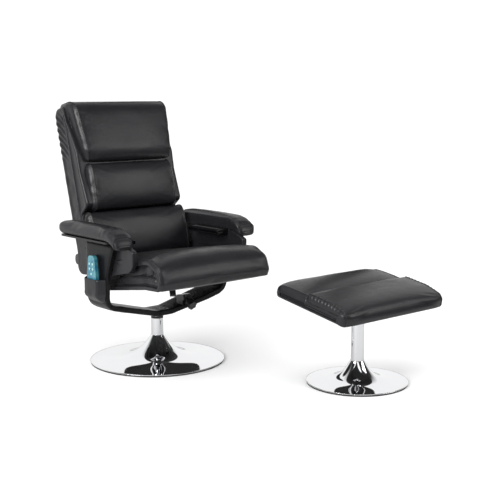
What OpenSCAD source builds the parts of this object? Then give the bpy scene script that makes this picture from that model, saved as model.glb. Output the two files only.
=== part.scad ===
// Reclining massage chair on a swivelling disc pedestal, with its matching footstool.
// The origin is on the floor below the chair's post. The chair faces -Y, the footstool stands at +X -Y.

/* [Pedestals] */
// Radius of the chair's disc
disc_r = 280; // [250:1:320]
// Radius of the footstool's disc
stool_disc_r = 198; // [160:1:230]
// Height of a disc's flat rim above the floor
rim_h = 8; // [7:0.5:12]
// Height at which the chair's disc meets its post
disc_neck_h = 108; // [90:1:125]
// Height at which the footstool's disc meets its post
stool_neck_h = 88; // [70:1:110]
// How sharply a disc flares into its neck
flare = 4.8; // [3.5:0.1:6]
// Thickness of the pressed disc
sheet = 2; // [1.5:0.1:2.5]
// Outer radius of both posts
post_r = 25; // [22:0.5:28]
// Wall of both posts
post_wall = 2; // [1.5:0.1:2.5]
// Height of the chair's post
post_h = 179; // [160:1:190]
// Height of the footstool's post
stool_post_h = 296; // [260:1:300]
// Radius of both spindles
spindle_r = 16.5; // [14:0.5:18]
// Height of the collar on the post's bush
collar_h = 11; // [8:1:18]
// Bare length of a spindle between the collar and what it carries
spindle_gap = 7; // [6:1:16]
// Running clearance of a pin or spindle, on the radius
run_fit = 0.05; // [0.02:0.01:0.09]

/* [Cradle] */
// Thickness of the upholstered cradle strip
strip_t = 25; // [23:0.5:32]
// Slope of the strip from the middle to each side, in degrees
strip_rise = 14.5; // [10:0.5:18]
// Outer radius of the strip's bend
strip_bend_r = 75; // [50:1:90]
// Half length of the level part in the middle
strip_level = 40; // [36:1:60]
// Thickness of the steel bar inside the strip
bar_t = 8; // [5:0.5:9]
// Width of the steel bar inside the strip
bar_w = 70; // [60:1:80]
// Height of the arm board above the cradle's underside
arm_h = 341; // [335:1:360]
// Thickness of the mounting plate on the spindle
plate_t = 5; // [4:0.5:6]
// Side of the square mounting plate
plate_w = 84; // [76:1:90]

/* [Arms] */
// Gap between the seat and an arm panel
arm_gap = 2.3; // [2:0.1:5]
// Thickness of an arm panel
panel_t = 22.7; // [18:0.1:24]
// Distance from the post's axis to the front edge of an arm panel
panel_front = 245; // [235:1:260]
// Distance from the post's axis to the rear edge of an arm panel
panel_rear = 150; // [145:1:165]
// Thickness of an arm board
arm_board_t = 7; // [5:0.5:12]
// Width of an arm pad
pad_w = 90; // [80:1:100]
// Height of an arm pad
pad_h = 56; // [50:1:80]
// Distance from the post's axis to the front end of an arm pad
pad_front = 228; // [220:1:260]
// Distance from the post's axis to the rear end of an arm pad
pad_rear = 198; // [172:1:205]
// How far the front end of an arm pad droops
pad_droop = 32; // [15:1:34]

/* [Seat] */
// Width of the seat
seat_w = 520; // [505:1:522]
// Depth of the seat, from its front to its rear face
seat_d = 490; // [470:1:500]
// Height of the seat cushion's side seam over its underside
seat_t = 121; // [112:1:130]
// Rise of the cushion's middle over its side seam
seat_crown = 8; // [2:1:14]
// Height of the seat's underside above the cradle's underside, over the post
seat_h = 129; // [122:1:140]
// Tilt of the seat, front up, in degrees
seat_tilt = 8.8; // [4:0.1:12]
// Thickness of the seat board
seat_board_t = 15; // [10:1:18]
// How far the seat glides forward as the back reclines
seat_travel = 45; // [20:1:50]
// Radius of the guide pins
guide_pin_r = 5; // [4:0.5:6]

/* [Back] */
// Width of the back at its hinge
back_w = 468; // [440:1:480]
// Width of the back at its top
back_top_w = 496; // [440:1:510]
// Height of the back above its hinge
back_h = 654; // [620:1:680]
// Depth of the back below its hinge
back_drop = 60; // [45:1:64]
// Tilt of the back at rest, in degrees
back_tilt = 13; // [8:0.5:20]
// Distance of the hinge behind the post's axis
hinge_y = 185; // [180:1:195]
// Height of the hinge above the cradle's underside
hinge_h = 233; // [228:1:245]
// Radius of the hinge pins
hinge_pin_r = 6; // [5:0.5:8]
// Depth of the back's shell behind the hinge line
shell_rear = 47; // [42:1:60]
// Depth of the back's shell before the hinge line
shell_front = 20; // [18:1:26]
// How far the back's side wings reach before the hinge line beside the head cushion
wing_head = 78; // [60:1:100]
// How far they reach beside the middle cushion's foot
wing_middle = 98; // [80:1:104]
// How far they reach beside the lumbar cushion
wing_lumbar = 62; // [50:1:80]
// Padded wall of the back's shell
shell_wall = 18; // [12:1:20]
// Thickness of the back board
back_board_t = 12; // [9:1:15]
// Height of the lumbar cushion
lumbar_h = 194; // [160:1:200]
// Height of the middle cushion
middle_h = 198; // [160:1:205]
// Depth of the lumbar cushion
lumbar_t = 92; // [80:1:98]
// Depth of the middle cushion
middle_t = 92; // [70:1:100]
// Depth of the head cushion
head_t = 94; // [80:1:105]
// How much less deep that cushion is at its top
head_taper = 16; // [0:1:24]
// Gap between the lumbar cushion and an arm panel
lumbar_gap = 13; // [10:1:20]
// Gap between two back cushions
cushion_gap = 3; // [1:0.5:8]

/* [Massage drive] */
// Radius of a motor's casing
motor_r = 23; // [20:1:26]
// Height of a motor's casing
motor_h = 26; // [24:1:27]
// Radius of a motor's shaft
shaft_r = 2; // [1.5:0.25:3]
// Distance from the middle to a motor in the seat
seat_motor_x = 110; // [80:1:150]
// Distance from the middle to a motor in the back
back_motor_x = 105; // [80:1:140]
// Height of the lower pair of back motors above the hinge
low_motor_h = 110; // [80:1:150]
// Height of the upper pair of back motors above the hinge
high_motor_h = 330; // [260:1:400]
// Radius of the power inlet's bore
inlet_r = 2.75; // [2.5:0.05:3]
// Depth of the power inlet's bore
inlet_depth = 12; // [9:0.5:14]

/* [Handset] */
// Height of the handset
handset_h = 145; // [130:1:148]
// Width of the handset at its widest
handset_w = 62; // [50:1:66]
// Width of the handset at its top
handset_top_w = 42; // [34:1:48]
// Thickness of the handset
handset_t = 22; // [18:0.5:23]
// Radius of a handset button
button_r = 5; // [4:0.25:6]
// How far a button is pressed
button_travel = 1; // [0.6:0.1:1.4]
// Depth of the pocket's mouth above the handset's foot
pocket_grip = 53; // [40:1:54]
// Thickness of the pocket's leather
pocket_t = 3; // [2:0.5:4]

/* [Recline lock] */
// Radius of the lock knob
knob_r = 20; // [16:1:22]
// Length of the lock knob
knob_l = 26; // [20:1:32]
// Radius of the knob's threaded stud
stud_r = 4; // [3:0.5:5]
// Distance of the lock from the middle
lock_x = 100; // [95:1:120]
// Width of the sliding tongue that the lock clamps
tongue_w = 30; // [20:1:34]
// Thickness of that tongue
tongue_t = 5; // [4:0.5:6]
// Depth of the tongue below the seat
tongue_drop = 64; // [58:1:66]

/* [Footstool] */
// Place of the footstool's post beside the chair's
stool_x = 384; // [380:1:500]
// Place of the footstool's post before the chair's
stool_y = -782; // [-900:1:-770]
// Width of the footstool's cushion
stool_w = 556; // [480:1:560]
// Depth of the footstool's cushion
stool_d = 392; // [360:1:400]
// Thickness of the footstool's cushion
stool_t = 54; // [50:1:70]
// Height of the raised front pad over the cushion
stool_pad_t = 21; // [14:1:30]
// Depth of that front pad
stool_pad_d = 200; // [170:1:205]
// Tilt of the footstool's top, front down, in degrees
stool_tilt = 9.6; // [5:0.1:14]
// Thickness of the footstool's board
stool_board_t = 15; // [12:1:18]

/* [Hidden] */
$fn = 64;
eps = 0.01;
soft_gap = 0.3;
snug = 0.1;
arc_steps = 5;

// Heights that stack up from the floor
cradle_z = post_h + collar_h + spindle_gap;
stool_z = stool_post_h + collar_h + spindle_gap;
bush_sleeve = 40;
spindle_below = bush_sleeve + 8;
ring_w = 28;
neck_steps = 26;

// Cradle
bar_depth = plate_t;
bar_y = -5;
strip_rear = 47;
strip_foot_front = 58;
strip_front = 92;
strip_top_front = 150;
strip_knee = 55;
strip_waist = 142;
strip_shoulder = 218;
strip_brow = 12;
strip_reach = 400;
bolt_r = 4;
bolt_head_r = 7;
bolt_head_t = 4;
bolt_grid = 25;

// Arms
panel_in = seat_w / 2 + arm_gap;
panel_out = panel_in + panel_t;
cradle_half = panel_out + strip_t;
panel_corner = 52;
panel_dip = 196;
panel_sag = 18;
panel_step = 8;
arm_board_in = panel_in + 2;
arm_board_out = cradle_half + 34;
pad_bend = 72;
arm_board_front = pad_front - pad_bend;
pad_x = panel_in + pad_w / 2;
pad_z = arm_h + arm_board_t;
pad_points = 24;
pad_square = 3.4;
panel_bolt_drop = [30, 100];
panel_bolt_z = [for (drop = panel_bolt_drop) arm_h - drop];

// Seat, in a frame that lies in the seat's underside with its origin over the post
seat_rear = 75;
seat_front = seat_d - seat_rear;
seat_board_rim = 14;
seat_edge = 16;
guide_t = 4;
guide_in = seat_w / 2 - seat_board_rim;
guide_s = [-100, 0];
guide_z = 95;
guide_h = 110;
guide_front = -150;
guide_rear = 62;
collar_r = 8;
seat_motor_s = -150;
box_w = 90;
box_d = 58;
box_h = 28;
box_rear = 58;
inlet_x = 30;
inlet_body_r = 6;

// Back, in a frame that leans with the back and has its origin on the hinge line
board_y = -shell_front;
lumbar_z = -12;
middle_z = lumbar_z + lumbar_h + cushion_gap;
head_z = middle_z + middle_h + cushion_gap;
shell_top = back_h - 22;
head_over = 22;
head_half = 242;
wing_waist = 20;
wing_brow = 38;
wing_knee_z = head_z + 40;
wing_brow_z = head_z + 180;
wing_clear = 5;
hinge_plate_t = 8;
hinge_plate_foot = 28;
hinge_plate_h = 130;
hinge_bracket_t = 4;
boss_r = 12;
cushion_edge = 22;
back_inner = back_w / 2 - shell_wall;
cushion_half = back_inner - soft_gap;
back_flare = (back_top_w / back_w - 1) / back_h;
back_edge = 20;

// Motors
motor_wall = 2;
weight_r = 14;
weight_t = 9;
weight_lift = 3;

// Handset and its pocket, on the outer face of the right-hand strip
handset_x = -cradle_half - 2;
handset_y = -31;
handset_z = 138;
handset_split = 8;
handset_wall = 2;
handset_corner = 14;
button_rise = 1.5;
button_rows = [[-11, 112], [11, 112], [-11, 92], [11, 92], [0, 72]];
pocket_foot = 3;
pocket_y = [-95, 44];
pocket_belly_y = [-74, 12];
pocket_room = handset_t + 4;
pocket_tail_turn = 30;

// Recline lock
lock_s = -45;
lock_lean = 28;
lock_angle = seat_tilt + lock_lean;
lock_block_d = 44;
lock_wall = 4;
stud_l = 42;
boss_front = 34;
tongue_front = 12;
tongue_spare = 8;

// Footstool, in a frame that lies in the underside of its top
stool_edge = 14;
stool_board_rim = 32;
stool_lip = 18;
stool_valley = 12;
stool_step = 9;

function unit(v) = v / norm(v);

// Points of the arc that rounds corner b of a, b, c
function corner(a, b, c, r, steps) =
  r == 0 ? [b] :
  let (
    u = unit(a - b),
    w = unit(c - b),
    opening = acos(u * w),
    reach = r / tan(opening / 2),
    centre = b + unit(u + w) * r / sin(opening / 2),
    start = b + u * reach - centre,
    end = b + w * reach - centre,
    turn = 180 - opening
  )
  [for (i = [0 : steps])
    centre + (start * sin((1 - i / steps) * turn) + end * sin(i / steps * turn)) / sin(turn)];

// Outline through the points, each corner rounded by its own radius
function rounded(points, radii, steps = arc_steps) =
  let (n = len(points))
  [for (i = [0 : n - 1])
    each corner(points[(i + n - 1) % n], points[i], points[(i + 1) % n], radii[i], steps)];

function backwards(list) = [for (i = [len(list) - 1 : -1 : 0]) list[i]];
function flipped(list) = [for (p = list) [-p[0], p[1]]];
function power(v, p) = sign(v) * pow(abs(v), p);

// Unit outline between a circle and a square, which larger values of square make fuller
function plump(n, square) =
  [for (i = [0 : n - 1])
    let (a = 360 * i / n)
    [power(cos(a), 2 / square), power(sin(a), 2 / square)]];

// Inset of a rounded end, where x runs from the middle to the end at half
function end_inset(x, half, edge) =
  let (t = max(0, (abs(x) - half + edge) / edge))
  edge * (1 - sqrt(max(0, 1 - t * t)));

// Stations from -half to half, closer together on the rounded ends
function stations(half, edge, ends = 4, middle = 6) =
  concat(
    [for (i = [0 : ends - 1]) -half + edge * (1 - sin(90 - 90 * i / ends))],
    [for (i = [0 : middle]) -half + edge + (2 * half - 2 * edge) * i / middle],
    [for (i = [ends - 1 : -1 : 0]) half - edge * (1 - sin(90 - 90 * i / ends))]
  );

// Solid skin over rings of points that all have the same count
module skin(rings) {
  n = len(rings[0]);
  last = len(rings) - 1;
  first_hub = [for (k = [0 : 2]) sum_of(rings[0], k) / n];
  last_hub = [for (k = [0 : 2]) sum_of(rings[last], k) / n];
  points = concat([for (ring = rings) each ring], [first_hub, last_hub]);
  hub = n * (last + 1);
  sides = [for (j = [0 : last - 1], i = [0 : n - 1])
    let (a = j * n + i, b = j * n + (i + 1) % n)
    each [[a, a + n, b], [b, a + n, b + n]]];
  caps = [for (i = [0 : n - 1])
    let (k = (i + 1) % n)
    each [[i, k, hub], [last * n + k, last * n + i, hub + 1]]];
  polyhedron(points = points, faces = concat(sides, caps), convexity = 6);
}

function sum_of(ring, k, i = 0) = i == len(ring) ? 0 : ring[i][k] + sum_of(ring, k, i + 1);
function low(outline, k) = min([for (p = outline) p[k]]);
function high(outline, k) = max([for (p = outline) p[k]]);

// Cushion across X with the side outline given as [y, z]. Its ends are rounded by edge, and
// on the underside by the share under of it. Its upper and its front faces swell by crown in
// the middle, and flare widens it by that share per millimetre of z.
module cushion(outline, half, edge, crown_up = 0, crown_front = 0, under = 1, flare = 0) {
  y0 = low(outline, 0);
  y1 = high(outline, 0);
  z0 = low(outline, 1);
  z1 = high(outline, 1);
  cy = (y0 + y1) / 2;
  cz = (z0 + z1) / 2;
  hy = (y1 - y0) / 2;
  hz = (z1 - z0) / 2;
  skin([for (x = stations(half, edge))
    let (
      inset = end_inset(x, half, edge),
      swell = 1 - pow(x / half, 2)
    )
    [for (p = outline)
      let (
        v = (p[0] - cy) / hy,
        w = (p[1] - cz) / hz
      )
      [
        x * (1 + flare * p[1]),
        cy + v * (hy - inset) - max(0, -v) * crown_front * swell,
        cz + w * (hz - inset * (w < 0 ? under : 1)) + max(0, w) * crown_up * swell
      ]
    ]
  ]);
}

// ---- frames of the moving groups ----

module on_cradle() {
  translate([0, 0, cradle_z]) children();
}

module on_seat() {
  translate([0, 0, cradle_z + seat_h]) rotate([-seat_tilt, 0, 0]) children();
}

module on_back() {
  translate([0, hinge_y, cradle_z + hinge_h]) rotate([-back_tilt, 0, 0]) children();
}

module on_stool() {
  translate([stool_x, stool_y, stool_z]) rotate([stool_tilt, 0, 0]) children();
}

module both_sides() {
  for (side = [-1, 1]) scale_x(side) children();
}

module scale_x(side) {
  if (side < 0) mirror([1, 0, 0]) children();
  else children();
}

// Extrudes an outline drawn as [y, z] along X from x0 to x1
module along_x(x0, x1) {
  translate([x0, 0, 0]) rotate([90, 0, 90]) linear_extrude(x1 - x0, convexity = 6) children();
}

// Extrudes an outline drawn as [x, z] along Y from y0 to y1
module along_y(y0, y1) {
  translate([0, y1, 0]) rotate([90, 0, 0]) linear_extrude(y1 - y0, convexity = 6) children();
}

module ring(outer, inner, h) {
  difference() {
    cylinder(r = outer, h = h);
    translate([0, 0, -1]) cylinder(r = inner, h = h + 2);
  }
}

// ---- pedestals ----

function flare_z(r, big, neck, top) = rim_h + (top - rim_h) * pow((big - r) / (big - neck), flare);

// Slope angle of the flare, which sets the direction of the sheet's thickness
function flare_slope(r, big, neck, top) =
  atan(flare * (top - rim_h) / (big - neck) * pow((big - r) / (big - neck), flare - 1));

function flare_r(i, big, neck) = neck + (big - neck) * pow(i / neck_steps, 1.8);

module pressed_disc(big, top) {
  neck = post_r + snug + sheet;
  outside = [for (i = [0 : neck_steps])
    let (r = flare_r(i, big, neck))
    [r, flare_z(r, big, neck, top)]];
  inside = [for (i = [neck_steps : -1 : 0])
    let (
      r = flare_r(i, big, neck),
      a = flare_slope(r, big, neck, top)
    )
    [max(post_r + snug, r - sheet * sin(a)), flare_z(r, big, neck, top) - sheet * cos(a)]];
  rotate_extrude(convexity = 6, $fn = 128) polygon(concat(outside, inside, [[post_r + snug, top]]));
}

module floor_ring(big) {
  ring(big - sheet, big - ring_w, rim_h - sheet, $fn = 128);
}

module ballast(big) {
  cylinder(r = big - ring_w - snug, h = rim_h - sheet, $fn = 128);
}

module post(top) {
  translate([0, 0, rim_h - sheet]) ring(post_r, post_r - post_wall, top - rim_h + sheet);
}

module bush(top) {
  translate([0, 0, top]) ring(post_r + 0.5, spindle_r + run_fit, collar_h);
  translate([0, 0, top - bush_sleeve]) ring(post_r - post_wall, spindle_r + run_fit, bush_sleeve + 1);
}

module chair_disc() {
  color("silver") pressed_disc(disc_r, disc_neck_h);
}

module chair_floor_ring() {
  color("black") floor_ring(disc_r);
}

module chair_ballast() {
  color("dimgray") ballast(disc_r);
}

module chair_post() {
  color("gainsboro") post(post_h);
}

module chair_bush() {
  color("black") bush(post_h);
}

module at_stool() {
  translate([stool_x, stool_y, 0]) children();
}

module stool_disc() {
  color("silver") at_stool() pressed_disc(stool_disc_r, stool_neck_h);
}

module stool_floor_ring() {
  color("black") at_stool() floor_ring(stool_disc_r);
}

module stool_ballast() {
  color("dimgray") at_stool() ballast(stool_disc_r);
}

module stool_post() {
  color("gainsboro") at_stool() post(stool_post_h);
}

module stool_bush() {
  color("black") at_stool() bush(stool_post_h);
}

// ---- cradle ----

module bolt_places() {
  for (x = [-bolt_grid, bolt_grid], y = [-bolt_grid, bolt_grid]) translate([x, bar_y + y, 0]) children();
}

module chair_spindle() {
  color("gainsboro") {
    translate([0, 0, post_h - spindle_below]) {
      cylinder(r = spindle_r, h = spindle_below + collar_h + spindle_gap + eps);
    }
    on_cradle() difference() {
      translate([-plate_w / 2, bar_y - plate_w / 2, 0]) cube([plate_w, plate_w, plate_t]);
      bolt_places() translate([0, 0, -1]) cylinder(r = bolt_r + snug, h = plate_t + 2);
    }
  }
}

// Centre [x, z] of the strip's bend
function strip_bend_centre() =
  let (x = cradle_half - strip_bend_r)
  [x, (x - strip_level) * tan(strip_rise) + strip_bend_r / cos(strip_rise)];

// Right half of the strip's line, at a depth inside its outer face
function strip_line(depth, top) =
  let (
    cx = strip_bend_centre()[0],
    cz = strip_bend_centre()[1],
    steps = 10
  )
  concat(
    [[strip_level - depth * tan(strip_rise / 2), depth]],
    [for (i = [0 : steps])
      let (a = -90 + strip_rise + (90 - strip_rise) * i / steps)
      [cx + (strip_bend_r - depth) * cos(a), cz + (strip_bend_r - depth) * sin(a)]],
    [[cradle_half - depth, top]]
  );

// U-shaped band between two depths
module strip_band(outer_depth, inner_depth, top) {
  outer = strip_line(outer_depth, top);
  inner = strip_line(inner_depth, top);
  polygon(concat(backwards(flipped(outer)), outer, backwards(inner), flipped(inner)));
}

module cradle_bar() {
  color("dimgray") on_cradle() difference() {
    along_y(bar_y - bar_w / 2, bar_y + bar_w / 2) strip_band(bar_depth, bar_depth + bar_t, arm_h);
    bolt_places() cylinder(r = bolt_r + snug, h = strip_t);
  }
}

module cradle_cover() {
  color("#26262a") on_cradle() difference() {
    intersection() {
      along_y(-strip_reach, strip_reach) strip_band(0, strip_t, arm_h);
      along_x(-strip_reach, strip_reach) polygon([
        [strip_rear, -1],
        [strip_rear, arm_h],
        [-strip_top_front, arm_h],
        [-strip_top_front, arm_h - strip_brow],
        [-strip_front - 11, strip_shoulder],
        [-strip_front, strip_waist],
        [-strip_front + 6, strip_knee],
        [-strip_foot_front - 4, 18],
        [-strip_foot_front, -1]
      ]);
    }
    along_y(bar_y - bar_w / 2, bar_y + bar_w / 2) strip_band(bar_depth, bar_depth + bar_t, arm_h + 1);
    translate([-plate_w / 2, bar_y - plate_w / 2, -1]) cube([plate_w, plate_w, plate_t + 1]);
    bolt_places() cylinder(r = bolt_head_r + 1, h = strip_t + 1);
    panel_bolt_places() translate([0, 0, -strip_t]) cylinder(r = bolt_r + snug, h = strip_t * 2);
  }
}

// Axes of the bolts that hold a panel to the strip, along the outward X of each side
module panel_bolt_places() {
  both_sides() for (z = panel_bolt_z) {
    translate([panel_out, bar_y, z]) rotate([0, 90, 0]) children();
  }
}

module frame_bolts() {
  color("#303033") on_cradle() {
    bolt_places() {
      translate([0, 0, -bolt_head_t]) cylinder(r = bolt_head_r, h = bolt_head_t, $fn = 6);
      translate([0, 0, -1]) cylinder(r = bolt_r, h = plate_t + bar_t + 6);
      translate([0, 0, plate_t + bar_t]) cylinder(r = bolt_head_r, h = bolt_head_t, $fn = 6);
    }
    panel_bolt_places() {
      translate([0, 0, -12]) cylinder(r = bolt_r, h = 12 + strip_t - bar_depth - bar_t);
    }
  }
}

// ---- arms ----

module arm_panel() {
  color("#26262a") on_cradle() difference() {
    along_x(panel_in, panel_out) polygon(rounded(
      [
        [panel_rear, arm_h],
        [-arm_board_front - 1, arm_h],
        [-arm_board_front - 1, arm_h - panel_step],
        [-panel_front, arm_h - panel_step - 6],
        [-panel_front, panel_dip + 42],
        [-61, panel_dip],
        [panel_rear, panel_dip - panel_sag]
      ],
      [0, 0, 0, 6, panel_corner, 60, 36]
    ));
    translate([0, bar_y, 0]) for (z = panel_bolt_z) {
      translate([panel_out - 12, 0, z]) rotate([0, 90, 0]) cylinder(r = bolt_r + snug, h = 20);
    }
  }
}

module arm_board() {
  color("#3a3a3c") on_cradle() translate([0, 0, arm_h]) linear_extrude(arm_board_t) polygon(rounded(
    [
      [arm_board_in, -arm_board_front],
      [arm_board_out, -arm_board_front],
      [arm_board_out, pad_rear - 12],
      [arm_board_in, pad_rear - 12]
    ],
    [8, 8, 20, 20]
  ));
}

// Arm pad as rings along Y. The rear end is rounded, and the front end droops as it rounds.
module arm_pad() {
  outline = plump(pad_points, pad_square);
  rear_edge = 34;
  front_edge = 30;
  rear_start = pad_rear - rear_edge;
  bend_start = -arm_board_front;
  front_start = front_edge - pad_front;
  places = concat(
    [for (i = [0 : 3]) pad_rear - rear_edge * (1 - cos(22.5 * i))],
    [for (i = [0 : 3]) rear_start + (bend_start - rear_start) * i / 4],
    [for (i = [0 : 3]) bend_start + (front_start - bend_start) * i / 4],
    [for (i = [0 : 5]) front_start - front_edge * sin(18 * i)]
  );
  color("#26262a") on_cradle() skin([for (y = places)
    let (
      rear_in = end_inset(max(0, y), pad_rear, rear_edge),
      front_in = end_inset(min(0, y), pad_front, front_edge),
      bent = max(0, min(1, (bend_start - y) / pad_bend)),
      droop = pad_droop * bent * bent,
      half_w = pad_w / 2 - 0.6 * (rear_in + front_in),
      half_h = pad_h / 2 - 0.75 * (rear_in + front_in)
    )
    [for (p = outline) [pad_x + p[0] * half_w, y, pad_z + pad_h / 2 - droop + p[1] * half_h]]
  ]);
}

module remote_pocket() {
  belly = cradle_half + 2 + pocket_room;
  foot = handset_z - pocket_foot - soft_gap;
  outer = [
    [-cradle_half, pocket_y[0]],
    [-cradle_half, pocket_y[1]],
    [-belly - pocket_t, pocket_belly_y[1]],
    [-belly - pocket_t, pocket_belly_y[0]]
  ];
  inner = [
    [-cradle_half - 1, pocket_y[0] + 14],
    [-cradle_half - 1, pocket_y[1] - 14],
    [-belly, pocket_belly_y[1] - 2],
    [-belly, pocket_belly_y[0] + 2]
  ];
  color("#26262a") on_cradle() {
    translate([0, 0, foot]) difference() {
      linear_extrude(pocket_grip + pocket_foot + soft_gap) polygon(rounded(outer, [0, 0, 12, 12]));
      translate([0, 0, pocket_foot]) linear_extrude(pocket_grip + 2) polygon(rounded(inner, [0, 0, 10, 10]));
    }
    along_y(pocket_belly_y[0] + 4, pocket_belly_y[1] - 4) polygon(pocket_tail(foot + eps, belly + pocket_t - 2));
  }
}

// Outline [x, z] of the pocket's tail, which runs back to the strip along its bend
function pocket_tail(top, out) =
  let (
    c = strip_bend_centre(),
    steps = 5
  )
  concat(
    [[-cradle_half, top], [-out, top], [-out + 4, top - 12]],
    [for (i = [steps : -1 : 0])
      let (a = pocket_tail_turn * i / steps)
      [-c[0] - (strip_bend_r + soft_gap) * cos(a), c[1] - (strip_bend_r + soft_gap) * sin(a)]]
  );

// ---- seat ----

module seat_cushion() {
  half = seat_w / 2;
  color("#26262a") on_seat() difference() {
    cushion(
      rounded(
        [
          [seat_rear, 0],
          [seat_rear, seat_t],
          [-seat_front + 62, seat_t],
          [-seat_front + 10, seat_t - 42],
          [-seat_front - 2, 24],
          [-seat_front + 10, 0]
        ],
        [8, 22, 40, 34, 18, 6]
      ),
      half, seat_edge, crown_up = seat_crown, under = 0.25
    );
    translate([0, 0, -1]) seat_board_shape(1 + seat_board_t);
    for (x = [-seat_motor_x, seat_motor_x]) {
      translate([x, seat_motor_s, seat_board_t - 1]) cylinder(r = motor_r + 1, h = motor_h + 2);
    }
    translate([-box_w / 2 - 1, box_rear - box_d - 1, seat_board_t - 1]) cube([box_w + 2, box_d + 2, box_h + 2]);
    translate([inlet_x, box_rear - 2, seat_board_t + box_h / 2]) rotate([-90, 0, 0]) {
      cylinder(r = inlet_body_r + snug, h = seat_rear);
    }
    both_sides() {
      translate([guide_in - 3, guide_front - 1, -1]) {
        cube([guide_t + 4, guide_rear - guide_front + 2, guide_h + 2]);
      }
      translate([guide_in, guide_s[0] - collar_r - 2, guide_z - collar_r - 2]) {
        cube([seat_w, guide_s[1] - guide_s[0] + seat_travel + 2 * collar_r + 4, 2 * collar_r + 4]);
      }
    }
  }
}

module seat_board_shape(t) {
  linear_extrude(t) polygon(rounded(
    [
      [-guide_in, -seat_front + 30],
      [guide_in, -seat_front + 30],
      [guide_in, seat_rear - 14],
      [-guide_in, seat_rear - 14]
    ],
    [24, 24, 6, 6]
  ));
}

module seat_board() {
  color("burlywood") on_seat() seat_board_shape(seat_board_t);
}

// Slotted steel plate that rides on the guide pins of one arm panel
module seat_guide() {
  slot_r = guide_pin_r + run_fit;
  color("dimgray") on_seat() difference() {
    translate([guide_in, guide_front, 0]) cube([guide_t, guide_rear - guide_front, guide_h]);
    for (s = guide_s) translate([guide_in - 1, s, guide_z]) {
      rotate([0, 90, 0]) cylinder(r = slot_r, h = guide_t + 2);
      translate([0, seat_travel, 0]) rotate([0, 90, 0]) cylinder(r = slot_r, h = guide_t + 2);
      translate([0, 0, -slot_r]) cube([guide_t + 2, seat_travel, 2 * slot_r]);
    }
  }
}

module guide_pins() {
  color("gainsboro") on_seat() both_sides() for (s = guide_s) translate([0, s, guide_z]) rotate([0, 90, 0]) {
    translate([0, 0, guide_in - 2]) cylinder(r = guide_pin_r, h = panel_in - guide_in + 2);
    translate([0, 0, guide_in + guide_t + 0.5]) cylinder(r = collar_r, h = panel_in - guide_in - guide_t - 0.5);
  }
}

// ---- massage drive ----

// Cup that holds one motor, open at its foot, with the bearing of the shaft in its end
module motor_casing() {
  difference() {
    cylinder(r = motor_r, h = motor_h);
    translate([0, 0, -1]) cylinder(r = motor_r - motor_wall, h = motor_h - 6 + 1);
    cylinder(r = shaft_r + run_fit, h = motor_h + 1);
  }
}

// Shaft with the half-round weight that makes the chair shake
module rotor() {
  translate([0, 0, weight_lift - 1]) cylinder(r = shaft_r, h = motor_h - weight_lift - 1);
  translate([0, 0, weight_lift]) difference() {
    cylinder(r = weight_r, h = weight_t);
    translate([-weight_r - 1, 4, -1]) cube([2 * weight_r + 2, weight_r + 1, weight_t + 2]);
  }
}

module in_seat_motor(side) {
  on_seat() translate([side * seat_motor_x, seat_motor_s, seat_board_t]) children();
}

module in_back_motor(side, z) {
  on_back() translate([side * back_motor_x, board_y + back_board_t, z]) rotate([-90, 0, 0]) children();
}

module seat_motor_casings() {
  color("#3c3f46") for (side = [-1, 1]) in_seat_motor(side) motor_casing();
}

module back_motor_casings() {
  color("#3c3f46") for (side = [-1, 1], z = [low_motor_h, high_motor_h]) in_back_motor(side, z) motor_casing();
}

module control_box() {
  color("#2b2d30") on_seat() difference() {
    translate([-box_w / 2, box_rear - box_d, seat_board_t]) cube([box_w, box_d, box_h]);
    translate([-box_w / 2 + 2, box_rear - box_d + 2, seat_board_t - 1]) cube([box_w - 4, box_d - 4, box_h - 1]);
  }
}

module power_inlet() {
  color("black") on_seat() translate([inlet_x, box_rear, seat_board_t + box_h / 2]) rotate([-90, 0, 0]) {
    difference() {
      cylinder(r = inlet_body_r, h = seat_rear - box_rear + 1);
      translate([0, 0, seat_rear - box_rear + 1 - inlet_depth]) cylinder(r = inlet_r, h = inlet_depth + 1);
    }
  }
}

// ---- back ----

// Board outline as [x, z] within the shell
module back_board() {
  half = back_inner;
  color("burlywood") on_back() translate([0, board_y + back_board_t, 0]) rotate([90, 0, 0]) {
    linear_extrude(back_board_t) polygon(rounded(
      [
        [-half, -back_drop + shell_wall],
        [half, -back_drop + shell_wall],
        [half, shell_top - shell_wall - 10],
        [-half, shell_top - shell_wall - 10]
      ],
      [6, 6, 40, 40]
    ));
  }
}

// Shell with side wings that swell beside each cushion and draw in between them
module back_shell() {
  inner = back_inner;
  hollow_rear = shell_rear - shell_wall;
  hollow_top = shell_top - shell_wall;
  hollow_foot = shell_wall - back_drop;
  beyond = -2 * wing_head;
  color("#26262a") on_back() difference() {
    cushion(
      rounded(
        [
          [shell_rear, -back_drop],
          [shell_rear, shell_top],
          [-shell_front - 8, shell_top],
          [-wing_brow, wing_brow_z],
          [-wing_head, wing_knee_z],
          [wing_waist - wing_middle, middle_z + middle_h * 0.8],
          [-wing_middle, middle_z + 22],
          [wing_waist - wing_lumbar, middle_z - 4],
          [-wing_lumbar, lumbar_z + 20],
          [-shell_front, -back_drop]
        ],
        [14, 34, 10, 60, 20, 40, 20, 16, 20, 20]
      ),
      back_w / 2, back_edge, flare = back_flare
    );
    along_x(-inner, inner) polygon([
      [hollow_rear, hollow_foot],
      [hollow_rear, hollow_top],
      [board_y, hollow_top],
      [board_y, back_h],
      [beyond, back_h],
      [beyond, hollow_foot]
    ]);
    both_sides() translate([inner - 1, 0, 0]) rotate([0, 90, 0]) cylinder(r = boss_r - 2, h = shell_wall + 3);
  }
}

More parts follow.
